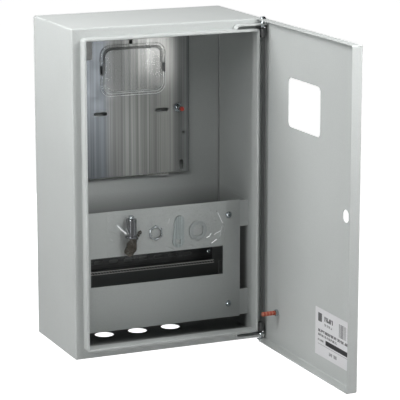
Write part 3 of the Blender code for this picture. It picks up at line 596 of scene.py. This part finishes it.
def lofted(name, loops, closed):
    """A solid through loops of 3-D points that all have the same count."""
    shape = bmesh.new()
    rings = [[shape.verts.new(point) for point in loop] for loop in loops]
    count = len(rings[0])
    pairs = list(zip(rings, rings[1:]))
    if closed:
        pairs.append((rings[-1], rings[0]))
    else:
        shape.faces.new(rings[0])
        shape.faces.new(rings[-1])
    for first, second in pairs:
        for k in range(count):
            m = (k + 1) % count
            shape.faces.new((first[k], first[m], second[m], second[k]))
    return mesh_of(shape, name)


def frame_loops(profile, half_x, half_z, centre=(0, 0), corner=None):
    """Loops round a rectangle for a profile of (inset, y)."""
    corner = corner or (lambda inset: max(FOLD - inset, 0.5 * MM))
    loops = []
    for inset, y in profile:
        flat = rounded_loop(half_x - inset, half_z - inset, corner(inset), centre)
        loops.append([(x, y, z) for x, z in flat])
    return loops


def turned(profile, sides=40):
    """A solid of revolution about Z. Its (radius, height) points run from axis to axis, or round a ring."""
    shape = bmesh.new()
    rings = []
    for radius, height in profile:
        if radius < 1e-7:  # on the axis
            rings.append([shape.verts.new((0, 0, height))])
            continue
        spots = [2 * math.pi * k / sides for k in range(sides)]
        rings.append([shape.verts.new((radius * math.cos(t), radius * math.sin(t), height)) for t in spots])
    looped = len(rings[0]) > 1
    pairs = list(zip(rings, rings[1:])) + ([(rings[-1], rings[0])] if looped else [])
    for first, second in pairs:
        for k in range(sides):
            m = (k + 1) % sides
            corners = (first, k), (first, m), (second, m), (second, k)
            unique = list(dict.fromkeys(ring[at % len(ring)] for ring, at in corners))
            if len(unique) > 2:
                shape.faces.new(unique)
    return mesh_of(shape, "turned")


def extruded(outlines, thickness, bevel=0.0):
    """A plate in the XZ plane between y = 0 and y = thickness; outlines after the first are holes."""
    curve = bpy.data.curves.new("outline", "CURVE")
    curve.dimensions = "2D"
    curve.fill_mode = "BOTH"
    curve.extrude = thickness / 2 - bevel
    curve.bevel_depth = bevel
    curve.bevel_resolution = 2
    for outline in outlines:
        spline = curve.splines.new("POLY")
        spline.points.add(len(outline) - 1)
        for point, (x, z) in zip(spline.points, outline):
            point.co = (x, z, 0, 1)
        spline.use_cyclic_u = True
    if bevel:
        curve.offset = -bevel
    source = added("outline", curve)
    graph = bpy.context.evaluated_depsgraph_get()
    mesh = bpy.data.meshes.new_from_object(source.evaluated_get(graph))
    bpy.data.objects.remove(source)
    mesh.transform(Matrix.Translation((0, thickness / 2, 0)) @ Matrix.Rotation(math.pi / 2, 4, "X"))
    mesh.materials.clear()
    shape = bmesh.new()
    shape.from_mesh(mesh)
    bmesh.ops.remove_doubles(shape, verts=shape.verts, dist=0.002 * MM)
    return mesh_of(shape, "extruded")


def block(low, high):
    shape = bmesh.new()
    bmesh.ops.create_cube(shape, size=1)
    low, high = Vector(low), Vector(high)
    bmesh.ops.scale(shape, vec=high - low, verts=shape.verts)
    bmesh.ops.translate(shape, vec=(low + high) / 2, verts=shape.verts)
    return mesh_of(shape, "block")


def moved(mesh, matrix):
    mesh.transform(matrix)
    return mesh


def shifted(mesh, x, y, z):
    return moved(mesh, Matrix.Translation((x, y, z)))


def rod(radius, end, sides):
    """A cylinder along Z that reaches as far down as up, to cut a hole with."""
    return turned([(0, end), (radius, end), (radius, -end), (0, -end)], sides)


def boolean(mesh, others, operation="DIFFERENCE"):
    """The mesh with the others cut from it or joined to it."""
    base = added("base", mesh)
    helpers = [added("helper", other) for other in others]
    for helper in helpers:
        change = base.modifiers.new("cut", "BOOLEAN")
        change.solver = "EXACT"
        change.operation = operation
        change.object = helper
    graph = bpy.context.evaluated_depsgraph_get()
    result = bpy.data.meshes.new_from_object(base.evaluated_get(graph))
    for done in [base, *helpers]:
        bpy.data.objects.remove(done)
    result.materials.clear()
    return result


def softened(node, material, width=0.25 * MM):
    """A CAD node kept as it is, with its edges eased and its material set."""
    made = NODES[node]
    made.data.materials.clear()
    made.data.materials.append(material)
    made.modifiers.new("weld", "WELD").merge_threshold = 0.01 * MM
    if width:
        flat = made.modifiers.new("flat", "DECIMATE")
        flat.decimate_type = "DISSOLVE"
        flat.angle_limit = math.radians(1)
        ease = made.modifiers.new("ease", "BEVEL")
        ease.width = width
        ease.segments = 2
        ease.limit_method = "ANGLE"
        ease.angle_limit = math.radians(40)
        ease.use_clamp_overlap = True
    shade_evenly(made)


FACING_DOOR = Matrix.Rotation(math.pi / 2, 4, "X")


# ---- the case


def make_case():
    """One folded sheet: walls, front flange and the rim that is doubled over at the mouth."""
    lip_in = RIM_INSET + RIM_THICK
    hem = 1.5 * MM
    profile = filleted(
        [
            (0, 0, 0),
            (0, FLANGE_Y, FOLD),
            (RIM_INSET, FLANGE_Y, 0.9 * MM),
            (RIM_INSET, RIM_Y, hem),
            (lip_in, RIM_Y, hem),
            (lip_in, RIM_HIGH.y, 0.3 * MM),
            (lip_in - SHEET, RIM_HIGH.y, 0.3 * MM),
            (lip_in - SHEET, RIM_Y + SHEET, 0.4 * MM),
            (RIM_INSET + SHEET, RIM_Y + SHEET, 0.4 * MM),
            (RIM_INSET + SHEET, FLANGE_Y + SHEET, 1.2 * MM),
            (SHEET, FLANGE_Y + SHEET, FOLD - SHEET),
            (SHEET, 0, 0),
        ]
    )

    def corner(inset):
        """Small at the case's outer edges, and rounder on the rim."""
        if inset < RIM_INSET - 2 * MM:
            return max(FOLD - inset, 0.5 * MM)
        return max(RIM_CORNER - (inset - RIM_INSET), MM)

    mesh = lofted("case_body", frame_loops(profile, CASE_HIGH.x, CASE_HIGH.z, corner=corner), True)
    holes = []
    for box in frame["record"]["physics"]["openings"]:
        if box["name"].startswith("cable_hole"):
            low, high = (Vector(end) for end in box["box_m"])
            middle = (low + high) / 2
            holes.append(shifted(rod(CABLE_HOLE_RADIUS, 10 * MM, 64), middle.x, middle.y, CASE_LOW.z))
    mesh = boolean(mesh, holes)
    new_object("case_body", mesh, PAINT, "case", ("case_shell", "case_rim"))


def make_door():
    """The door's pan, shaped shut and then turned open, with its window, lock hole and notches."""
    low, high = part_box("door_edge")
    lock_edge, hinge_edge = low.y - PIVOT.y, high.y - PIVOT.y
    skin, free_edge = PIVOT.x - high.x, PIVOT.x - low.x
    half_x, half_z = (hinge_edge - lock_edge) / 2, high.z
    middle = (hinge_edge + lock_edge) / 2
    inside, inner = 20 * MM, skin + SHEET
    profile = filleted(
        [
            (inside, skin, 0),
            (0, skin, FOLD),
            (0, free_edge, 0.35 * MM),
            (SHEET, free_edge, 0.35 * MM),
            (SHEET, inner, FOLD - SHEET),
            (inside, inner, 0),
        ],
        closed=False,
    )
    mesh = lofted("door_panel", frame_loops(profile, half_x, half_z, (middle, 0)), False)
    far = 30 * MM
    past = hinge_edge + far
    stub = hinge_edge - SHEET - MM
    cutters = [block((stub, skin + HINGE_FOLD, -half_z + SHEET), (past, far, half_z - SHEET))]
    for side in (-1, 1):
        ends = sorted((side * (half_z - HINGE_FOLD_END), side * (half_z - SHEET)))
        cutters.append(block((stub, inner + MM, ends[0]), (past, far, ends[1])))
        cutters.append(shifted(rod(HINGE_HOLE_RADIUS, far, 32), 0, 0, side * half_z))
    notch = (hinge_edge - HINGE_NOTCH, free_edge - HINGE_NOTCH_DEPTH, -half_z - far)
    cutters.append(block(notch, (past, far, half_z + far)))
    window_at = (WINDOW_CENTRE[0] - PIVOT.x, WINDOW_CENTRE[1])
    edge = math.degrees(math.acos(LOCK_HOLE_FLAT / LOCK_HOLE_RADIUS))
    lock_at = (LOCK_HOLE_X - PIVOT.x, 0)
    lock = arc(lock_at, LOCK_HOLE_RADIUS, edge, 180 - edge, 12)
    lock += arc(lock_at, LOCK_HOLE_RADIUS, 180 + edge, 360 - edge, 12)
    for outline in (rounded_loop(*WINDOW_HALF, WINDOW_CORNER, window_at, 8), lock):
        cutters.append(shifted(extruded([outline], 20 * MM), 0, skin - 10 * MM, 0))
    mesh = moved(boolean(mesh, cutters), Matrix.Translation(PIVOT) @ Matrix.Rotation(OPEN, 4, "Z"))
    new_object("door_panel", mesh, DOOR_PAINT, "door", ("door_skin", "door_edge"))


# ---- fasteners

TO_WORLD = {
    "y": FACING_DOOR,
    "z": Matrix.Identity(4),
    "x": Matrix(((0, 0, 1, 0), (1, 0, 0, 0), (0, 1, 0, 0), (0, 0, 0, 1))),
}


def placed(mesh, centre, axis):
    return moved(mesh, Matrix.Translation(centre) @ TO_WORLD[axis])


def half_sizes(node, axis):
    """Half of a node's length along the axis, and the lesser and greater of its half widths."""
    low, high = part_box(node)
    sizes = dict(zip("xyz", (high - low) / 2))
    half = sizes.pop(axis)
    return half, min(sizes.values()), max(sizes.values())


def stand_in(node, mesh, axis, body="case", material=ZINC, slot="zinc_plate"):
    """A mesh made about the origin, put where its CAD node is and in that node's stead."""
    low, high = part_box(node)
    new_object(f"{node}_made", placed(mesh, (low + high) / 2, axis), material, body, (node,))


def thread(radius, start, end, pitch=0.8 * MM, depth=0.35 * MM):
    """(radius, height) points of a ridged shank from start up or down to end."""
    turns = max(1, round(abs(end - start) / pitch))
    step = (end - start) / turns
    points = []
    for number in range(turns):
        points += [(radius - depth, start + step * number), (radius, start + step * (number + 0.5))]
    return points + [(radius - depth, end)]


def make_screw(node, head, axis="y"):
    """A pan head with a cross recess on a threaded shank. The head is at the low end along Y, or the top."""
    low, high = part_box(node)
    radius = (high.x - low.x) / 2
    top, _, _ = half_sizes(node, axis)
    seat = top - head
    profile = [(0, -top), (SHANK - 0.6 * MM, -top)]
    profile += thread(SHANK, -top + 0.4 * MM, seat - 0.1 * MM)
    profile += [(radius - 0.3 * MM, seat), (radius, seat + 0.3 * MM)]
    for step in range(6):
        angle = math.radians(12 + 78 * step / 6)
        rise = seat + 0.3 * MM + (head - 0.3 * MM) * math.sin(angle)
        profile.append((radius * math.cos(angle) ** 0.75, rise))
    mesh = turned(profile + [(0, top)])
    long, narrow = radius * 0.5, radius * 0.13
    cutters = []
    for x, y in ((long, narrow), (narrow, long)):
        loops = []
        for share, height in ((0.35, top - 0.62 * head), (1.0, top + 0.05 * head)):
            a, b = (x * share, y) if x > y else (x, y * share)
            loops.append([(a, b, height), (-a, b, height), (-a, -b, height), (a, -b, height)])
        cutters.append(lofted("recess", loops, False))
    mesh = boolean(mesh, [boolean(cutters[0], cutters[1:], "UNION")])
    stand_in(node, moved(mesh, Matrix.Rotation(math.radians(38), 4, "Z")), axis)


def make_nut(node, bore, axis="y", **look):
    """A hexagon nut with both faces chamfered and a threaded bore."""
    half, _, corner = half_sizes(node, axis)
    flat = corner * math.cos(math.pi / 6)
    chamfer = (corner - flat) * 0.62

    def ring(limit, height):
        loop = []
        for step in range(96):
            angle = 2 * math.pi * step / 96
            side = flat / math.cos((angle + math.pi / 6) % (math.pi / 3) - math.pi / 6)
            reach = min(side, limit)
            loop.append((reach * math.cos(angle), reach * math.sin(angle), height))
        return loop

    outer = [ring(flat * 0.985, half)]
    for k in range(1, 5):
        outer.append(ring(flat + (corner - flat) * k / 4, half - chamfer * (0.1 + 0.9 * k / 4)))
    outer += [[(x, y, -z) for x, y, z in loop] for loop in reversed(outer)]
    ridges = thread(bore + 0.3 * MM, -half + 0.3 * MM, half - 0.3 * MM, 0.8 * MM, 0.3 * MM)
    inner = [ring(bore + 0.5 * MM, -half)] + [ring(radius, height) for radius, height in ridges]
    inner.append(ring(bore + 0.5 * MM, half))
    stand_in(node, lofted(f"{node}_mesh", outer + inner, True), axis, **look)


def make_round(node, ease, axis="y"):
    """A washer or spacer with eased edges."""
    half, _, radius = half_sizes(node, axis)
    hole = 2.3 * MM
    profile = [(hole, -half + ease), (hole + ease, -half), (radius - ease, -half), (radius, -half + ease)]
    profile += [(reach, -height) for reach, height in reversed(profile)]
    stand_in(node, turned(profile, 48), axis)


def make_stud(node, body, axis):
    half, radius, _ = half_sizes(node, axis)
    profile = [(0, -half)] + thread(radius, -half, half - 0.5 * MM) + [(radius - 0.7 * MM, half), (0, half)]
    stand_in(node, turned(profile, 32), axis, body)


def make_fasteners():
    for word in ("upper_left", "upper_right", "lower_left", "lower_right"):
        make_screw(f"panel_screw_{word}", 2.8 * MM)
        make_round(f"panel_washer_{word}", 0.2 * MM)
    for word in ("left", "right"):
        make_screw(f"rail_screw_{word}", 2.6 * MM)
        make_nut(f"rail_nut_{word}", 2.2 * MM)
    make_screw("hinge_screw_upper", 3.6 * MM, "z")
    make_screw("hinge_screw_lower", 3.4 * MM, "z")
    make_nut("hinge_nut_upper", 2.2 * MM, "z")
    for word in ("upper", "lower"):
        make_round(f"hinge_spacer_{word}", 0.4 * MM, "z")
    make_stud("earth_stud", "case", "y")
    make_nut("earth_nut", 2.7 * MM)
    make_stud("door_earth_stud", "door", "x")
    make_nut("door_earth_nut", 2.7 * MM, "x", body="door")
    make_nut("lock_nut", 8.4 * MM, material=NUT_CHROME, slot="chrome")


def make_hinge_sleeves():
    """Dark plastic sleeves on the ends of the pivots, with a collar inside the door's fold."""
    collar, outer = 222, 235.9
    outline = [(0, collar), (4, collar), (4.5, collar + 0.5), (4.5, 225.2)]
    outline += [(5.2, 225.8), (5.2, outer - 0.6), (4.7, outer), (0, outer)]
    middle = (collar + outer) / 2
    profile = [(radius * MM, (height - middle) * MM) for radius, height in outline]
    for word, side in (("upper", 1), ("lower", -1)):
        ends = profile if side == 1 else [(radius, -height) for radius, height in reversed(profile)]
        mesh = shifted(turned(ends, 32), PIVOT.x, PIVOT.y, side * middle * MM)
        new_object(f"hinge_sleeve_{word}", mesh, SLEEVE, "case")


def make_stud_caps():
    """Push-on plastic sleeves with moulded ribs, each with its closed end away from the nut."""
    for node, body, axis, closed, material in (
        ("earth_stud_cap", "case", "y", 1, cap_plastic()),
        ("door_stud_cap", "door", "x", -1, striped_sleeve()),
    ):
        half, _, _ = half_sizes(node, axis)
        bore = 2.75 * MM
        profile = [(0, half), (2.6 * MM, half), (3.3 * MM, half - 0.7 * MM)]
        ribs = max(2, round(2 * half / (2.6 * MM)))
        step = (2 * half - 1.2 * MM) / ribs
        for number in range(ribs):
            top = half - 0.9 * MM - step * number
            for radius, share in ((3.5, 0.15), (3.5, 0.6), (3.15, 0.72), (3.15, 0.95)):
                profile.append((radius * MM, top - share * step))
        profile += [(3.4 * MM, -half), (bore, -half), (bore, half - 1.6 * MM), (0, half - 1.6 * MM)]
        mesh = turned([(radius, height * closed) for radius, height in profile], 32)
        stand_in(node, mesh, axis, body, material, "red_plastic")


# ---- the stored window and the lock kit


def make_window_insert():
    """A clear moulding: a flange, sloping sides and a flat raised face, with two snap tabs coloured dark as
    painted shade.
    """
    low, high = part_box("window_insert")
    half_x, half_z = (high.x - low.x) / 2, (high.z - low.z) / 2
    centre = ((high.x + low.x) / 2, (high.z + low.z) / 2)
    back, front = high.y, low.y
    section = (
        (8.5, front, 1.3), (7.6, front, 1.4), (6.2, back, -0.2), (5.6, back, 0), (0.4, back, 0),
        (0, back, -0.4), (0, back, -1.1), (0.4, back, -1.5), (3.6, back, -1.5), (4.2, back, -1.9),
        (5.0, front, 0.6), (5.5, front, 0.12), (6.1, front, 0), (8.5, front, 0),
    )
    profile = [(inset * MM, face + rise * MM) for inset, face, rise in section]
    loops = frame_loops(profile, half_x, half_z, centre, lambda inset: 16 * MM - 0.6 * inset)
    made = new_object("window_insert_made", lofted("insert", loops, False), CLEAR, "case", ("window_insert",))
    made.data.materials.append(moulding_edge())
    for face in made.data.polygons:
        face.material_index = 1 if abs(face.normal.y) < 0.93 else 0
    for side, word in ((-1, "left"), (1, "right")):
        x = centre[0] + side * (half_x - 2.6 * MM)
        outline = rounded_loop(1.3 * MM, 7 * MM, 0.6 * MM, (x, centre[1] + 1 * MM), 3)
        tab = shifted(extruded([outline], 3 * MM, 0.3 * MM), 0, back - 4.2 * MM, 0)
        new_object(f"window_snap_{word}", tab, SNAP_PAINTED_SHADE, "case")


def make_lock():
    """The cam lock's chromed body with its thread cut away at two flats, and the plug that turns in it."""
    low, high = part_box("lock_housing")
    head, top = 3 * MM, high.z - low.z
    body, outer, bore = 8 * MM, 9.7 * MM, 5.5 * MM
    profile = [(bore, 0), (outer - 1.3 * MM, 0), (outer - 0.3 * MM, 0.4 * MM), (outer, 1.2 * MM)]
    profile += [(outer, head - 0.4 * MM), (outer - 0.4 * MM, head), (body - 0.6 * MM, head + 0.1 * MM)]
    profile += thread(body, head + 2 * MM, top - 0.8 * MM, 1.25 * MM, 0.12 * MM)
    profile += [(body - 0.9 * MM, top), (bore, top)]
    flats = []
    for side in (-1, 1):
        ends = sorted((side * 6.9 * MM, side * 12 * MM))
        flats.append(block((ends[0], -12 * MM, head + 0.3 * MM), (ends[1], 12 * MM, top + MM)))
    mesh = boolean(turned(profile, 56), flats)
    pin = moved(turned([(0, -MM), (1.0 * MM, -MM), (1.0 * MM, MM), (0, MM)], 20), FACING_DOOR)
    mesh = boolean(mesh, [shifted(pin, -1.5 * MM, -8 * MM, top - 5.6 * MM)])
    shifted(mesh, (low.x + high.x) / 2, (low.y + high.y) / 2, low.z)
    new_object("lock_housing_made", mesh, CHROME, "case", ("lock_housing",))
    softened("lock_plug", ZINC)


def make_key(node, body, middle_x, middle_z, lean=0.0):
    """A flat key: its bow with a ring hole and a raised border, and a toothed, grooved blade."""
    low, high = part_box(node)
    half_x, half_z, radius = 8 * MM, 10 * MM, 6.4 * MM
    wide, tip = 6 * MM, 34 * MM
    edge, inset = rounded_loop(half_x, half_z, radius, steps=8), 1.8 * MM
    hole = arc((0, -half_z + 4.5 * MM), 1.8 * MM, 0, 330, 11)
    plate = extruded([edge, hole], 1.4 * MM, 0.25 * MM)
    border = rounded_loop(half_x - inset, half_z - inset, radius - inset, steps=8)
    rim = shifted(extruded([edge, border], 2 * MM, 0.25 * MM), 0, -0.3 * MM, 0)
    outline = [(-wide / 2, half_z - 2 * MM), (wide / 2, half_z - 2 * MM)]
    for number, cut in enumerate((0.0, 1.6, 0.5, 2.0, 0.9, 1.7, 0.3)):
        at = half_z + 5 * MM + number * 2.4 * MM
        outline += [(wide / 2 - cut * MM, at), (wide / 2 - cut * MM, at + 1.0 * MM)]
    outline += [(wide / 2 - 0.6 * MM, tip - 2.4 * MM), (0, tip), (-wide / 2, tip - 3 * MM)]
    blade = shifted(extruded([outline], 1.8 * MM, 0.2 * MM), 0, -0.2 * MM, 0)
    groove = block((-0.7 * MM, -2 * MM, half_z + MM), (0.3 * MM, 0.35 * MM, tip + MM))
    mesh = boolean(plate, [rim, boolean(blade, [groove])], "UNION")
    middle = Vector((middle_x, (low.y + high.y) / 2 - 0.7 * MM, middle_z))
    moved(mesh, Matrix.Translation(middle) @ Matrix.Rotation(lean, 4, "Y"))
    new_object(f"{node}_made", mesh, KEY_METAL, body, (node,))


def make_keys():
    """One key in the plug and the spare one loose below it."""
    low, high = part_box("key_in_lock")
    make_key("key_in_lock", "lock_key", (low.x + high.x) / 2, low.z + 10 * MM)
    make_key("spare_key", "case", *SPARE_KEY, SPARE_KEY_LEAN)


def bag_lift(x, z):
    """How far the film stands off the cover, in mm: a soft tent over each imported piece."""
    mounds = (  # middle, half sizes and height of each
        (-47.5, -76, 11, 34, 20.8), (-42, -92, 20, 24, 4), (-4, -78.2, 14, 14, 4.6),
        (34.8, -78, 11, 29, 3.6), (67, -80.8, 17, 17, 3.2),
    )
    total = 0.0
    for centre_x, centre_z, half_x, half_z, height in mounds:
        out_x = max(0.0, abs(x - centre_x) - half_x)
        out_z = max(0.0, abs(z - centre_z) - half_z)
        total += max(0.0, height + 3.5 - 1.15 * math.hypot(out_x, out_z)) ** 6
    return min(total ** (1 / 6), 21.4)


def make_bag():
    """The bag's front film over the lock kit, sealed and taped flat at its edges."""
    low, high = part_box("kit_bag")
    cells_x, cells_z = 150, 56
    shape = bmesh.new()
    rows = []
    for k in range(cells_z + 1):
        z = low.z + (high.z - low.z) * k / cells_z
        row = []
        for m in range(cells_x + 1):
            x = low.x + (high.x - low.x) * m / cells_x
            border = min(x - low.x, high.x - x, z - low.z, high.z - z) / MM
            wrinkle = noise.fractal(Vector((x, 0, z)) * 60, 0.7, 2.2, 4)
            wrinkle += 0.5 * noise.noise(Vector((x * 25, 3.0, z * 160)))
            lift = max(1.2, bag_lift(x / MM, z / MM)) + 0.45 * wrinkle * min(1.0, border / 8)
            row.append(shape.verts.new((x, PANEL_Y - lift * MM, z)))
        rows.append(row)
    for lower, upper in zip(rows, rows[1:]):
        for m in range(cells_x):
            shape.faces.new((lower[m], lower[m + 1], upper[m + 1], upper[m]))
    film = added("kit_bag_film", taken(shape, "bag_film"))
    film.data.materials.append(FILM)
    film.data.shade_smooth()
    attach(film, "case")
    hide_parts("kit_bag")


# ---- build

make_case()
make_door()
for name in ("back_plate", "side_bracket_left", "side_bracket_right"):
    softened(name, INNER_PAINT)
for name in ("hinge_bracket_upper", "hinge_bracket_lower"):
    softened(name, INNER_PAINT, 0.4 * MM)
softened("front_panel", PANEL_PAINT)
softened("meter_plate", METER_STEEL, 0.15 * MM)
softened("din_rail", rail_zinc(), 0.2 * MM)
softened("lock_cam", CAM_STEEL, 0.3 * MM)
softened("lock_seal", GREY_RUBBER, 0.4 * MM)
softened("earth_star_washer", ZINC, 0.15 * MM)
softened("tape_strip", TAPE, 0)
softened("door_label", label_print(), 0)
softened("instruction_sheet", sheet_print(), 0)
make_fasteners()
make_hinge_sleeves()
make_stud_caps()
make_window_insert()
make_lock()
make_keys()
make_bag()


# ---- floor, light and camera


def floor_plane(name, material, drop):
    shape = bmesh.new()
    bmesh.ops.create_grid(shape, x_segments=1, y_segments=1, size=20)
    floor = added(name, taken(shape, name))
    floor.location = (0, 0, CASE_LOW.z - drop)
    floor.data.materials.append(material)
    return floor


def make_floor():
    """A plain pale floor a little below the case, which hangs on a wall in use.

    The upper plane is a lit table, which only the camera sees. The lower one returns the lamps' light.
    """
    n = Nodes("lit_floor", (0.8, 0.8, 0.8), 0.9)
    place = n.add("ShaderNodeVectorMath", operation="LENGTH")
    n.link(n.place, place.inputs[0])
    n.set("Emission Color", (1, 1, 1, 1))
    n.feed(n.spread(place.outputs["Value"], 0.3, 1.2, 0.8, 1.0), "Emission Strength")
    n.feed(n.mottled(n.noise(3, 2), (0.79, 0.79, 0.79), (0.81, 0.81, 0.81)), "Base Color")
    shown = floor_plane("floor", n.material, FLOOR_DROP)
    shown.visible_diffuse = False
    shown.visible_glossy = False
    shown.visible_shadow = False
    below = Nodes("floor_bounce", (0.62, 0.62, 0.62), 0.9)
    below.feed(below.mottled(below.noise(3, 2), (0.61, 0.61, 0.61), (0.63, 0.63, 0.63)), "Base Color")
    hidden = floor_plane("floor_under", below.material, FLOOR_DROP + 0.005)
    hidden.visible_camera = False


def lamp(name, place, size, power, target, diffuse=True, glossy=True):
    """A rectangular soft light that the camera doesn't see."""
    data = bpy.data.lights.new(name, "AREA")
    data.shape = "RECTANGLE"
    data.size, data.size_y = size
    data.energy = power
    made = added(name, data)
    made.location = place
    made.rotation_euler = (Vector(target) - Vector(place)).to_track_quat("-Z", "Y").to_euler()
    made.visible_camera = False
    made.visible_diffuse = diffuse
    made.visible_glossy = glossy


def make_light():
    """Soft boxes close by, above and to the sides, which leave the inside of the case dim."""
    world = bpy.data.worlds.new("studio")
    world.use_nodes = True
    world.node_tree.nodes["Background"].inputs["Color"].default_value = (1, 1, 1, 1)
    world.node_tree.nodes["Background"].inputs["Strength"].default_value = 1.0
    world.cycles_visibility.diffuse = False
    world.cycles_visibility.glossy = False
    world.cycles_visibility.scatter = False
    bpy.context.scene.world = world
    centre, left, door, kit = (0.05, -0.3, 0), (-0.15, -0.1, 0.1), (0.15, -0.45, 0.1), (0, -0.1, -0.05)
    for name, place, side, power, target in (
        ("left_back_box", (-1.3, 0.3, 0.4), 0.9, 1.5, centre),
        ("right_front_box", (1.4, -1.4, 0), 0.9, 5.9, centre),
        ("door_box", (0.4, -0.9, 0.7), 0.4, 7.4, door),
        ("front_left_box", (-0.6, -0.8, 0.7), 0.5, 1.8, (-0.1, -0.2, 0.1)),
        ("left_side_box", (-0.9, -0.5, 0.6), 0.5, 0.8, left),
        ("left_top_box", (-0.8, -0.1, 0.7), 0.6, 9.5, left),
        ("back_top_box", (0.1, 0.3, 0.8), 0.6, 2.1, (0, -0.1, 0.2)),
        ("back_fill", (0.1, 1.9, -0.3), 0.6, 14, (0, 0, -0.05)),
        ("top_front_box", (-0.05, -0.6, 0.55), 0.25, 0.25, (-0.05, -0.17, 0.2)),
    ):
        lamp(name, place, (side, side), power, target, glossy=name != "door_box")
    # Reflector cards, which only show in shiny surfaces.
    for name, place, size, power, target in (
        ("left_strip", (-1.2, -1.5, -0.1), (0.3, 0.65), 12, kit),
        ("far_left_strip", (-1.8, -1.55, -0.12), (0.3, 0.6), 14, kit),
        ("window_card", (0.72, -1.65, -0.08), (0.45, 0.35), 2.6, (0.05, 0, 0.18)),
    ):
        lamp(name, place, size, power, target, diffuse=False)


def make_camera():
    """Half-turned to the left of the box and a little above it."""
    data = bpy.data.cameras.new("camera")
    data.lens = CAMERA_LENS
    data.sensor_width = 36
    data.clip_start, data.clip_end = 0.1, 100
    made = added("camera", data)
    made.location = CAMERA_PLACE
    made.rotation_euler = (math.pi / 2 - CAMERA_DOWN, 0, CAMERA_TURN)
    bpy.context.scene.camera = made


make_floor()
make_light()
make_camera()
bpy.context.scene.view_settings.view_transform = "Standard"
